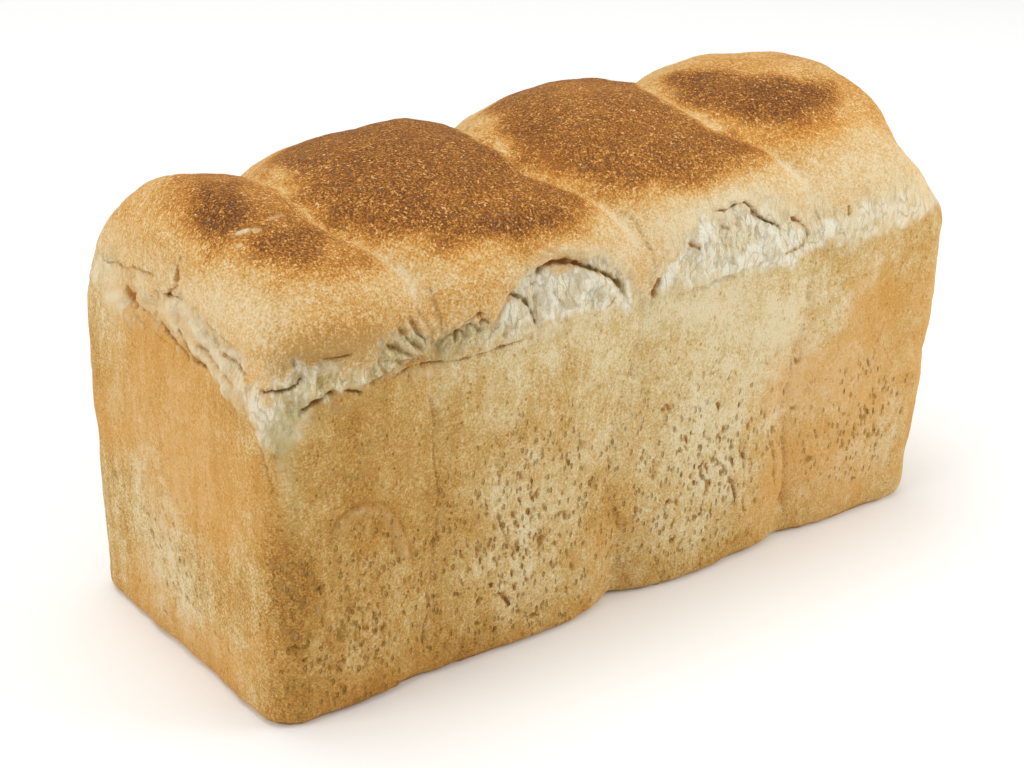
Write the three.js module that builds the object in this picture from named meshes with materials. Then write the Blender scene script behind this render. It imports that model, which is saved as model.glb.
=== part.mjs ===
// A tin loaf baked from four pieces of dough, laid side by side in one long open tin.
// Millimetres. X runs along the loaf, Y across it and Z up from the flat base. The front wall faces -Y.
// The surface is where surfaceGap is zero: a tapered block with a round domed top, creased where two
// pieces meet, and torn in arches above the line where the tin's rim was.
import * as THREE from 'three';

// Overall size
const baseLength = 238;
const baseWidth = 101;
const crownHeight = 135.5;
const rimHeight = 91;

// How far each wall leans out for each millimetre of height, up to the rim
const leftLean = 0.006;
const rightLean = 0.054;
const sideLean = 0.024;

// Edges
const wallCornerRadius = 11;
const domeCornerRadius = 31;
const domeEdgeRadius = 15;
const baseEdgeRadius = 3;

// Top
const crownFall = 17;
const crownFallReach = 50;
const leftEndFall = 4;
const rightEndFall = 6;
const leftDomeSetBack = 2.4;
const rightDomeSetBack = 5.5;
const setBackHeight = 14;
const pieceRises = [0.2, 0, 0.9, 0.6];
const pieceMiddles = [-100, -50, 18, 84];

// Creases between the pieces. Each bends towards +X on its way down to either wall, bows a little down the
// wall, and leaves a notch at the bottom edge where the dough did not fill the tin.
const seams = [
  { top: -86, frontBend: 14.5, backBend: 9, notch: 0.6, depth: 1, bow: 2.5 },
  { top: -20.5, frontBend: 19.5, backBend: 17, notch: 4.2, depth: 1.15, bow: -8.5 },
  { top: 44, frontBend: 19.5, backBend: 21, notch: 2.2, depth: 0.8, bow: -7 },
];
const creaseReach = 27;
const creaseRounding = 1.6;
const creaseDepth = { top: 5, back: 7.5, front: 4.5, rim: 2.6, wall: 1.3 };
const frontBendStart = 21;
const frontBendLength = 29;
const backBendLength = 38;
const bowHeight = 48;
const bowReach = 26;
const bowFrom = 40;
const notchHeight = 22;

// Tears above the rim: arches of torn dough under a lip of crust
const lipHeight = 96;
const tearDepth = 3.2;
const lipThickness = 3;
const tearFade = 8;
const frontArches = [
  { middle: -104, halfWidth: 16, rise: 10 },
  { middle: -80, halfWidth: 10, rise: 5 },
  { middle: -30, halfWidth: 25, rise: 16 },
  { middle: 34, halfWidth: 30, rise: 18 },
  { middle: 92, halfWidth: 24, rise: 11 },
];
const backArches = [
  { middle: -94, halfWidth: 20, rise: 9 },
  { middle: -46, halfWidth: 23, rise: 13 },
  { middle: 14, halfWidth: 28, rise: 15 },
  { middle: 80, halfWidth: 27, rise: 12 },
];
const leftArches = [
  { middle: 27, halfWidth: 22, rise: 12 },
  { middle: -4, halfWidth: 18, rise: 13 },
  { middle: -30, halfWidth: 16, rise: 9 },
];
const rightArches = [
  { middle: 22, halfWidth: 18, rise: 11 },
  { middle: -4, halfWidth: 14, rise: 7 },
  { middle: -36, halfWidth: 19, rise: 21 },
];

// Slow unevenness of the walls and top
const lumpHeight = 0.45;
const lumpLength = 46;

// Mesh: quads along, across and up each wall, with closer rows where the tears are
const stepsAlong = 58;
const stepsAcross = 23;
const boxMargin = 6;
const rowBands = [
  { from: -boxMargin, to: 84, rows: 12 },
  { from: 84, to: 120, rows: 12 },
  { from: 120, to: crownHeight, rows: 2 },
];
const coreDepth = 34;
const castReach = 1.6;
const castHalvings = 26;
const baseInset = 2.5;
const spotDecimals = 4;

function smoothStep(value) {
  const t = THREE.MathUtils.clamp(value, 0, 1);
  return t * t * (3 - 2 * t);
}

// The larger of two distances, with the edge between them rounded off
function roundedMax(first, second, radius) {
  const u = Math.max(first + radius, 0);
  const v = Math.max(second + radius, 0);
  return Math.min(Math.max(first, second), -radius) + Math.hypot(u, v);
}

function seamX(seam, y, z) {
  const front = seam.frontBend * smoothStep((-y - frontBendStart) / frontBendLength);
  const back = seam.backBend * smoothStep(y / backBendLength);
  const bow = Math.abs(y) > bowFrom ? seam.bow * Math.exp(-(((z - bowHeight) / bowReach) ** 2)) : 0;
  return seam.top + front + back + bow;
}

// The nearest seam, and how deep in its crease a point is, from 0 on a piece to 1 at the seam
function nearestCrease(x, y, z) {
  let nearest = Infinity;
  let seam = seams[0];
  for (const candidate of seams) {
    const distance = Math.abs(x - seamX(candidate, y, z));
    if (distance < nearest) {
      nearest = distance;
      seam = candidate;
    }
  }
  const rounded = Math.hypot(nearest, creaseRounding) - creaseRounding;
  const share = THREE.MathUtils.clamp(1 - rounded / creaseReach, 0, 1);
  return { dip: share * share, seam };
}

// How far the torn dough lies behind the wall: deepest just under the lip, fading down to the rim
function tearInset(along, z, arches) {
  let lip = lipHeight;
  for (const arch of arches) {
    const t = (along - arch.middle) / arch.halfWidth;
    if (Math.abs(t) < 1) lip = Math.max(lip, lipHeight + arch.rise * (1 - t * t));
  }
  const below = lip - z;
  return tearDepth * smoothStep(below / lipThickness + 0.5) * Math.exp(-Math.max(below, 0) / tearFade);
}

function lump(x, y, z) {
  const turn = (2 * Math.PI) / lumpLength;
  const rising = Math.sin(turn * (x + 0.6 * z));
  const slanting = Math.sin(turn * (1.3 * y - 0.8 * x));
  const falling = Math.sin(turn * (1.2 * z + 0.5 * y));
  return (lumpHeight * (rising + slanting + falling)) / 3;
}

// Distance from the middle to the end wall that the point is nearer to
function endReach(x, y, z) {
  const atLeft = x < 0;
  const lean = (atLeft ? leftLean : rightLean) * Math.min(z, rimHeight);
  const setBack = (atLeft ? leftDomeSetBack : rightDomeSetBack) * smoothStep((z - rimHeight) / setBackHeight);
  return baseLength / 2 + lean - setBack - tearInset(y, z, atLeft ? leftArches : rightArches);
}

// Distance from the middle to the front or back wall
function sideReach(x, y, z, crease) {
  const lean = sideLean * Math.min(z, rimHeight);
  const aboveRim = smoothStep((z - rimHeight + 4) / 26);
  const seamDepth = THREE.MathUtils.lerp(creaseDepth.wall, creaseDepth.rim, aboveRim);
  const notch = crease.seam.notch * Math.exp(-((z / notchHeight) ** 2));
  const groove = (seamDepth + notch) * Math.pow(crease.dip, 1.5);
  return baseWidth / 2 + lean - groove - tearInset(x, z, y < 0 ? frontArches : backArches);
}

function pieceRise(x) {
  const last = pieceMiddles.length - 1;
  if (x <= pieceMiddles[0]) return pieceRises[0];
  if (x >= pieceMiddles[last]) return pieceRises[last];
  const next = pieceMiddles.findIndex((middle) => middle > x);
  const share = (x - pieceMiddles[next - 1]) / (pieceMiddles[next] - pieceMiddles[next - 1]);
  return THREE.MathUtils.lerp(pieceRises[next - 1], pieceRises[next], share);
}

function topHeight(x, y, crease) {
  const towardsBack = (creaseDepth.back - creaseDepth.top) * smoothStep(y / backBendLength);
  const towardsFront = (creaseDepth.front - creaseDepth.top) * smoothStep(-y / backBendLength);
  const depth = crease.seam.depth * (creaseDepth.top + towardsBack + towardsFront);
  const endFall = x < 0 ? leftEndFall : rightEndFall;
  const fallAlong = endFall * Math.abs(x / (baseLength / 2)) ** 5;
  const fallAcross = crownFall * (y / crownFallReach) ** 2;
  return crownHeight + pieceRise(x) - fallAlong - fallAcross - depth * crease.dip;
}

// Negative inside the loaf, positive outside
function surfaceGap(x, y, z) {
  const crease = nearestCrease(x, y, z);
  const cornerGrowth = smoothStep((z - rimHeight) / (crownHeight - rimHeight));
  const cornerRadius = THREE.MathUtils.lerp(wallCornerRadius, domeCornerRadius, cornerGrowth);
  const pastEnd = Math.abs(x) - endReach(x, y, z);
  const pastSide = Math.abs(y) - sideReach(x, y, z, crease);
  const pastWall = roundedMax(pastEnd, pastSide, cornerRadius);
  const pastTop = roundedMax(pastWall, z - topHeight(x, y, crease), domeEdgeRadius);
  return roundedMax(pastTop - lump(x, y, z), -z, baseEdgeRadius);
}

// Follows the ray from a core inside the loaf through a point of the box round it, out to the surface
function crustPoint(boxPoint) {
  const core = new THREE.Vector3(
    THREE.MathUtils.clamp(boxPoint.x, coreDepth - baseLength / 2, baseLength / 2 - coreDepth),
    THREE.MathUtils.clamp(boxPoint.y, coreDepth - baseWidth / 2, baseWidth / 2 - coreDepth),
    THREE.MathUtils.clamp(boxPoint.z, coreDepth, crownHeight - coreDepth),
  );
  let inside = 0;
  let outside = castReach;
  const point = new THREE.Vector3();
  for (let i = 0; i < castHalvings; i += 1) {
    const middle = (inside + outside) / 2;
    point.lerpVectors(core, boxPoint, middle);
    if (surfaceGap(point.x, point.y, point.z) < 0) inside = middle;
    else outside = middle;
  }
  return point;
}

// One turn round the box, anticlockwise from the front left corner
function perimeter(halfLength, halfWidth) {
  const points = [];
  const corners = [
    [-halfLength, -halfWidth, halfLength, -halfWidth, stepsAlong],
    [halfLength, -halfWidth, halfLength, halfWidth, stepsAcross],
    [halfLength, halfWidth, -halfLength, halfWidth, stepsAlong],
    [-halfLength, halfWidth, -halfLength, -halfWidth, stepsAcross],
  ];
  for (const [fromX, fromY, toX, toY, steps] of corners) {
    for (let i = 0; i < steps; i += 1) {
      const x = THREE.MathUtils.lerp(fromX, toX, i / steps);
      points.push([x, THREE.MathUtils.lerp(fromY, toY, i / steps)]);
    }
  }
  return points;
}

function rowHeights() {
  const heights = [rowBands[0].from];
  for (const band of rowBands) {
    const rowHeight = (band.to - band.from) / band.rows;
    for (let i = 1; i <= band.rows; i += 1) heights.push(band.from + rowHeight * i);
  }
  return heights;
}

function spotKey(x, y) {
  return `${x.toFixed(spotDecimals)},${y.toFixed(spotDecimals)}`;
}

function loafGeometry() {
  const halfLength = baseLength / 2 + boxMargin;
  const halfWidth = baseWidth / 2 + boxMargin;
  const round = perimeter(halfLength, halfWidth);
  const positions = [];
  const faces = [];
  const addPoint = (point) => positions.push(point.x, point.y, point.z) / 3 - 1;
  const addQuad = (a, b, c, d) => faces.push(a, b, c, a, c, d);

  // Walls, row by row
  const addCrustPoint = (x, y, z) => addPoint(crustPoint(new THREE.Vector3(x, y, z)));
  const rows = rowHeights().map((height) => round.map(([x, y]) => addCrustPoint(x, y, height)));
  for (let row = 0; row + 1 < rows.length; row += 1) {
    for (let i = 0; i < round.length; i += 1) {
      const next = (i + 1) % round.length;
      addQuad(rows[row][i], rows[row][next], rows[row + 1][next], rows[row + 1][i]);
    }
  }

  // Top: a grid whose outer points are the last row's
  const rim = rows[rows.length - 1];
  const rimIndex = new Map(round.map(([x, y], i) => [spotKey(x, y), rim[i]]));
  const grid = [];
  for (let j = 0; j <= stepsAcross; j += 1) {
    const line = [];
    for (let i = 0; i <= stepsAlong; i += 1) {
      const x = THREE.MathUtils.lerp(-halfLength, halfLength, i / stepsAlong);
      const y = THREE.MathUtils.lerp(-halfWidth, halfWidth, j / stepsAcross);
      const shared = rimIndex.get(spotKey(x, y));
      line.push(shared ?? addCrustPoint(x, y, crownHeight));
    }
    grid.push(line);
  }
  for (let j = 0; j < stepsAcross; j += 1) {
    for (let i = 0; i < stepsAlong; i += 1) {
      addQuad(grid[j][i], grid[j][i + 1], grid[j + 1][i + 1], grid[j + 1][i]);
    }
  }

  // Flat base: the lowest row drawn in a little and laid at zero, then closed to a point in the middle
  const baseShareX = 1 - baseInset / (baseLength / 2);
  const baseShareY = 1 - baseInset / (baseWidth / 2);
  const base = rows[0].map((index) => {
    const x = positions[3 * index];
    const y = positions[3 * index + 1];
    return addPoint(new THREE.Vector3(x * baseShareX, y * baseShareY, 0));
  });
  const middle = addPoint(new THREE.Vector3(0, 0, 0));
  for (let i = 0; i < base.length; i += 1) {
    const next = (i + 1) % base.length;
    addQuad(base[i], base[next], rows[0][next], rows[0][i]);
    faces.push(middle, base[next], base[i]);
  }

  const geometry = new THREE.BufferGeometry();
  geometry.setAttribute('position', new THREE.Float32BufferAttribute(positions, 3));
  geometry.setIndex(faces);
  geometry.computeBoundingBox();
  const centre = geometry.boundingBox.getCenter(new THREE.Vector3());
  geometry.translate(-centre.x, -centre.y, -geometry.boundingBox.min.z);
  geometry.computeVertexNormals();
  return geometry;
}

function crustMaterial() {
  return new THREE.MeshStandardMaterial({ name: 'crust', color: 0xc98f4e, roughness: 0.85, metalness: 0 });
}

const loaf = new THREE.Mesh(loafGeometry(), crustMaterial());
loaf.name = 'loaf';

const tinLoaf = new THREE.Group();
tinLoaf.add(loaf);

export default tinLoaf;
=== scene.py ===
import math

import bmesh
import bpy
import numpy as np
from mathutils import Matrix, Vector


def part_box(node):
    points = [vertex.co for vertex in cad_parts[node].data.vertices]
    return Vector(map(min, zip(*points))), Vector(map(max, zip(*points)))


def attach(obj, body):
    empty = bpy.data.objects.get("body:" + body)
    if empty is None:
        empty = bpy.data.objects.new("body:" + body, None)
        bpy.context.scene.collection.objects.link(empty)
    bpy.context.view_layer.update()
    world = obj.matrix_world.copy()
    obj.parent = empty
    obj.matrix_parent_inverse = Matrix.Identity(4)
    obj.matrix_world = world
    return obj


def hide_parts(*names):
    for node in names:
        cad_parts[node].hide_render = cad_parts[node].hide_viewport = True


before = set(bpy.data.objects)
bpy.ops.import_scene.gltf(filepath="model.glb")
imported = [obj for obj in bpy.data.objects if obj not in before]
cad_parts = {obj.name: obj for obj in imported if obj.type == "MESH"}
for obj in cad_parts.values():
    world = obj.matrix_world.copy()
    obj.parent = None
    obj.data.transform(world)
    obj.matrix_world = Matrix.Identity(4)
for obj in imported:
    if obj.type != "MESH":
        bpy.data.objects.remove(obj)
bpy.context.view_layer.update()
loafLow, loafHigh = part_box("loaf")
print("frame loaded, loaf from", loafLow[:], "to", loafHigh[:])

# Everything about the loaf is worked out in millimetres. X runs along it, Y across it and Z up, with the
# front wall facing -Y. The finished mesh is moved into the CAD solid's box and scaled to metres.
millimetre = .001

# ---- camera
shot = {
    "azimuth": -37.47, "elevation": 25.36, "roll": 1.09, "nearest": .01,
    "distance": .6275, "lens": 75.15, "target": (-.0105, -.0033, .0538),
}


def placeCamera():
    lens = bpy.data.cameras.new("shotCamera")
    lens.lens = shot["lens"]
    lens.clip_start = shot["nearest"]
    camera = bpy.data.objects.new("shotCamera", lens)
    bpy.context.scene.collection.objects.link(camera)
    turn = Matrix.Rotation(math.radians(shot["azimuth"]), 4, "Z")
    tip = Matrix.Rotation(math.radians(90 - shot["elevation"]), 4, "X")
    roll = Matrix.Rotation(math.radians(shot["roll"]), 4, "Z")
    away = Matrix.Translation((0, 0, shot["distance"]))
    camera.matrix_world = Matrix.Translation(shot["target"]) @ turn @ tip @ roll @ away
    bpy.context.scene.camera = camera


placeCamera()
print("camera placed")

# ---- the baked form
form = {
    "length": 238, "width": 101, "crownHeight": 135.5, "rimHeight": 91,
    "leftLean": .006, "rightLean": .054, "sideLean": .024,
    "wallCorner": 11, "domeCorner": 31, "domeEdge": 15, "baseEdge": 3,
    "crownFall": 17, "crownFallReach": 50, "leftEndFall": 4, "rightEndFall": 6, "endFallPower": 5,
    "leftSetBack": 2.4, "rightSetBack": 5.5, "setBackHeight": 14,
    "pieceMiddles": (-100, -50, 18, 84), "pieceRises": (.2, 0, .9, .6),
    "lumpHeight": .45, "lumpLength": 46, "lumpSlants": ((1, 0, .6), (-.8, 1.3, 0), (0, .5, 1.2)),
    "dentAt": (115, -33, 115.5), "dentSize": (14, 16, 8.5), "dentDepth": 4.8,
    "boundsMiddle": 1.97,  # how far the middle of the form's bounds lies to +X of its origin
}

# Creases between the four pieces: each bends towards +X on its way down to either wall
creases = {
    "seams": (
        {"top": -86, "frontBend": 14.5, "backBend": 9, "notch": .6, "depth": 1, "bow": 2.5, "line": 1},
        {"top": -20.5, "frontBend": 19.5, "backBend": 17, "notch": 4.2, "depth": 1.15, "bow": -8.5,
         "line": .75},
        {"top": 44, "frontBend": 19.5, "backBend": 21, "notch": 2.2, "depth": .8, "bow": -7, "line": .7},
    ),
    "bowHeight": 48, "bowReach": 26, "bowFrom": 40,
    "reach": 27, "rounding": 1.6, "notchHeight": 22, "wallSharpness": 1.5, "crownFrom": 4, "crownOver": 26,
    "topDepth": 4.2, "backDepth": 7.5, "frontDepth": 3.4, "rimDepth": 2.6, "wallDepth": 1.3,
    "frontBendStart": 21, "frontBendLength": 29, "backBendLength": 38,
}

# Torn dough above the line of the tin's rim: arches given as middle, half width, rise of the lip and depth
tears = {
    "lipHeight": 96, "plainDepth": 1, "lipEdge": 4, "fade": 9, "roundness": .62,
    "ragged": 1.3, "raggedSize": 6,
    "front": ((-104, 17, 9, 2), (-80, 10.5, 13, 1.5), (-59.5, 10.5, 10, 1.4), (-29, 26, 18, 2.8),
              (33, 31, 19, 1.6), (65, 13, 10, .8), (92, 26, 11, 1)),
    "back": ((-94, 20, 9, 2), (-46, 23, 13, 2.4), (14, 28, 15, 2.6), (80, 27, 12, 1.8)),
    "left": ((27, 22, 11, 1.4), (-4, 18, 13, 1.6), (-30, 16, 9, 1.2)),
    "right": ((22, 18, 11, 2), (-4, 14, 7, 1.4), (-36, 19, 21, 2.4)),
}


def smoothStep(value):
    t = np.clip(value, 0, 1)
    return t * t * (3 - 2 * t)


noiseGrid = {"cells": 48, "shift": 1000.5, "strength": 1.5}


# Seeded smooth noise between -1 and 1, whose lumps are about this many millimetres in size
def unevenness(points, size, seed):
    cells = noiseGrid["cells"]
    lattice = np.random.default_rng(seed).uniform(-1, 1, (cells, cells, cells))
    spot = points / np.asarray(size, float) + noiseGrid["shift"]
    corner = np.floor(spot).astype(int)
    part = spot - corner
    part = part * part * (3 - 2 * part)
    total = np.zeros(len(points))
    for dx in (0, 1):
        for dy in (0, 1):
            for dz in (0, 1):
                share = (part[:, 0] if dx else 1 - part[:, 0]) * (part[:, 1] if dy else 1 - part[:, 1])
                share = share * (part[:, 2] if dz else 1 - part[:, 2])
                x, y, z = (corner + (dx, dy, dz)).T % cells
                total += share * lattice[x, y, z]
    return total * noiseGrid["strength"]


# Several of these noises added up, each given as its strength, size and seed
def layered(points, layers):
    return sum(strength * unevenness(points, size, seed) for strength, size, seed in layers)


# One at zero, falling away softly on both sides over this reach
def bell(value, reach):
    return np.exp(-(value / reach) ** 2)


# On the walls each seam bows a little along the loaf
def seamX(seam, y, z):
    front = seam["frontBend"] * smoothStep((-y - creases["frontBendStart"]) / creases["frontBendLength"])
    bow = seam["bow"] * bell(z - creases["bowHeight"], creases["bowReach"]) * (np.abs(y) > creases["bowFrom"])
    return seam["top"] + front + seam["backBend"] * smoothStep(y / creases["backBendLength"]) + bow


# Signed distance to the nearest seam, with that seam's notch and depth
def nearestSeam(x, y, z):
    nearest = np.full(len(x), np.inf)
    notch, depth = np.zeros(len(x)), np.zeros(len(x))
    for seam in creases["seams"]:
        offset = x - seamX(seam, y, z)
        closer = np.abs(offset) < np.abs(nearest)
        nearest = np.where(closer, offset, nearest)
        notch = np.where(closer, seam["notch"], notch)
        depth = np.where(closer, seam["depth"], depth)
    return nearest, notch, depth


# Height of the lip of crust along a wall, and how deep the dough lies behind it
def raggedLip(points, wall):
    along = points[:, 1] if wall in ("left", "right") else points[:, 0]
    lip, depth = np.zeros(len(along)), np.full(len(along), tears["plainDepth"])
    for middle, halfWidth, rise, arch in tears[wall]:
        inside = np.clip(1 - ((along - middle) / halfWidth) ** 2, 0, 1) ** tears["roundness"]
        lip = np.maximum(lip, rise * inside)
        depth = np.maximum(depth, arch * np.minimum(2 * inside, 1))
    return tears["lipHeight"] + lip + tears["ragged"] * unevenness(points, tears["raggedSize"], 11), depth


def tearInset(points, wall):
    lip, depth = raggedLip(points, wall)
    below = lip - points[:, 2]
    return depth * smoothStep(below / tears["lipEdge"] + .5) * np.exp(-np.maximum(below, 0) / tears["fade"])


# The larger of two distances, with the edge between them rounded off
def roundedMax(first, second, radius):
    rounded = np.hypot(np.maximum(first + radius, 0), np.maximum(second + radius, 0))
    return np.minimum(np.maximum(first, second), -radius) + rounded


def lump(points):
    turn = 2 * math.pi / form["lumpLength"]
    return form["lumpHeight"] * np.sin(turn * points @ np.array(form["lumpSlants"]).T).mean(axis=1)


# Negative inside the loaf, positive outside
def surfaceGap(points):
    x, y, z = points.T
    belowRim = np.minimum(z, form["rimHeight"])
    aboveRim = smoothStep((z - form["rimHeight"]) / form["setBackHeight"])
    leftReach = form["leftLean"] * belowRim - form["leftSetBack"] * aboveRim - tearInset(points, "left")
    rightReach = form["rightLean"] * belowRim - form["rightSetBack"] * aboveRim - tearInset(points, "right")
    endReach = form["length"] / 2 + np.where(x < 0, leftReach, rightReach)

    offset, notch, deep = nearestSeam(x, y, z)
    rounded = np.hypot(offset, creases["rounding"]) - creases["rounding"]
    dip = np.clip(1 - rounded / creases["reach"], 0, 1) ** 2
    towardsCrown = smoothStep((z - form["rimHeight"] + creases["crownFrom"]) / creases["crownOver"])
    groove = creases["wallDepth"] + (creases["rimDepth"] - creases["wallDepth"]) * towardsCrown
    groove = (groove + notch * bell(z, creases["notchHeight"])) * dip ** creases["wallSharpness"]
    sideTear = np.where(y < 0, tearInset(points, "front"), tearInset(points, "back"))
    sideReach = form["width"] / 2 + form["sideLean"] * belowRim - groove - sideTear

    cornerGrowth = smoothStep((z - form["rimHeight"]) / (form["crownHeight"] - form["rimHeight"]))
    corner = form["wallCorner"] + (form["domeCorner"] - form["wallCorner"]) * cornerGrowth
    pastWall = roundedMax(np.abs(x) - endReach, np.abs(y) - sideReach, corner)

    creaseDepth = creases["topDepth"]
    creaseDepth += (creases["backDepth"] - creases["topDepth"]) * smoothStep(y / creases["backBendLength"])
    creaseDepth += (creases["frontDepth"] - creases["topDepth"]) * smoothStep(-y / creases["backBendLength"])
    top = form["crownHeight"] + np.interp(x, form["pieceMiddles"], form["pieceRises"])
    endFall = np.where(x < 0, form["leftEndFall"], form["rightEndFall"])
    top -= endFall * np.abs(2 * x / form["length"]) ** form["endFallPower"]
    top -= form["crownFall"] * (y / form["crownFallReach"]) ** 2 + deep * creaseDepth * dip
    pastTop = roundedMax(pastWall, z - top, form["domeEdge"])
    fromDent = np.linalg.norm((points - form["dentAt"]) / form["dentSize"], axis=1)
    dent = form["dentDepth"] * bell(fromDent, 1)
    return roundedMax(pastTop + dent - lump(points), -z, form["baseEdge"])


# ---- the block that is cast onto the form
block = {
    "cellSize": 2.8, "margin": 6, "coreDepth": 34, "castReach": 1.6, "castHalvings": 20,
    "strokeFrom": 60, "strokeReach": 150, "strokeSpacing": .5,
}


# Follows the ray from a core inside the loaf through each point, out to the crust
def castOnto(points):
    depth = block["coreDepth"]
    low = (depth - form["length"] / 2, depth - form["width"] / 2, depth)
    high = (form["length"] / 2 - depth, form["width"] / 2 - depth, form["crownHeight"] - depth)
    core = np.clip(points, low, high)
    inside, outside = np.zeros(len(points)), np.full(len(points), block["castReach"])
    for halving in range(block["castHalvings"]):
        middle = (inside + outside) / 2
        within = surfaceGap(core + (points - core) * middle[:, None]) < 0
        inside = np.where(within, middle, inside)
        outside = np.where(within, outside, middle)
    return core + (points - core) * ((inside + outside) / 2)[:, None]


def vertexSpots(vertices):
    return np.array([v.co[:] for v in vertices])


def moveVertices(vertices, spots):
    for vertex, spot in zip(vertices, spots):
        vertex.co = spot


# A box of even cells, with its base under the loaf's so that the bottom edge is rounded by the cast
def makeBlock():
    size = (form["length"] + 2 * block["margin"], form["width"] + 2 * block["margin"],
            form["crownHeight"] + block["margin"])
    bm = bmesh.new()
    bmesh.ops.create_cube(bm, size=1)
    bmesh.ops.scale(bm, vec=size, verts=bm.verts)
    bmesh.ops.translate(bm, vec=(0, 0, size[2] / 2 - block["margin"]), verts=bm.verts)
    for axis in range(3):
        edges = [e for e in bm.edges if abs(e.verts[0].co[axis] - e.verts[1].co[axis]) > block["cellSize"]]
        cuts = round(size[axis] / block["cellSize"]) - 1
        bmesh.ops.subdivide_edges(bm, edges=edges, cuts=cuts, use_grid_fill=True)
    return bm


# Splits the faces that the test picks, for finer relief there
def refine(bm, picked):
    centres = np.array([f.calc_center_median()[:] for f in bm.faces])
    chosen = picked(centres)
    wanted = {e for f, fine in zip(bm.faces, chosen) if fine for e in f.edges}
    edges = [e for e in bm.edges if e in wanted]
    already = set(bm.verts)
    bmesh.ops.subdivide_edges(bm, edges=edges, cuts=1, use_grid_fill=True, use_single_edge=True)
    fresh = [v for v in bm.verts if v not in already]
    moveVertices(fresh, castOnto(vertexSpots(fresh)))


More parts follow.
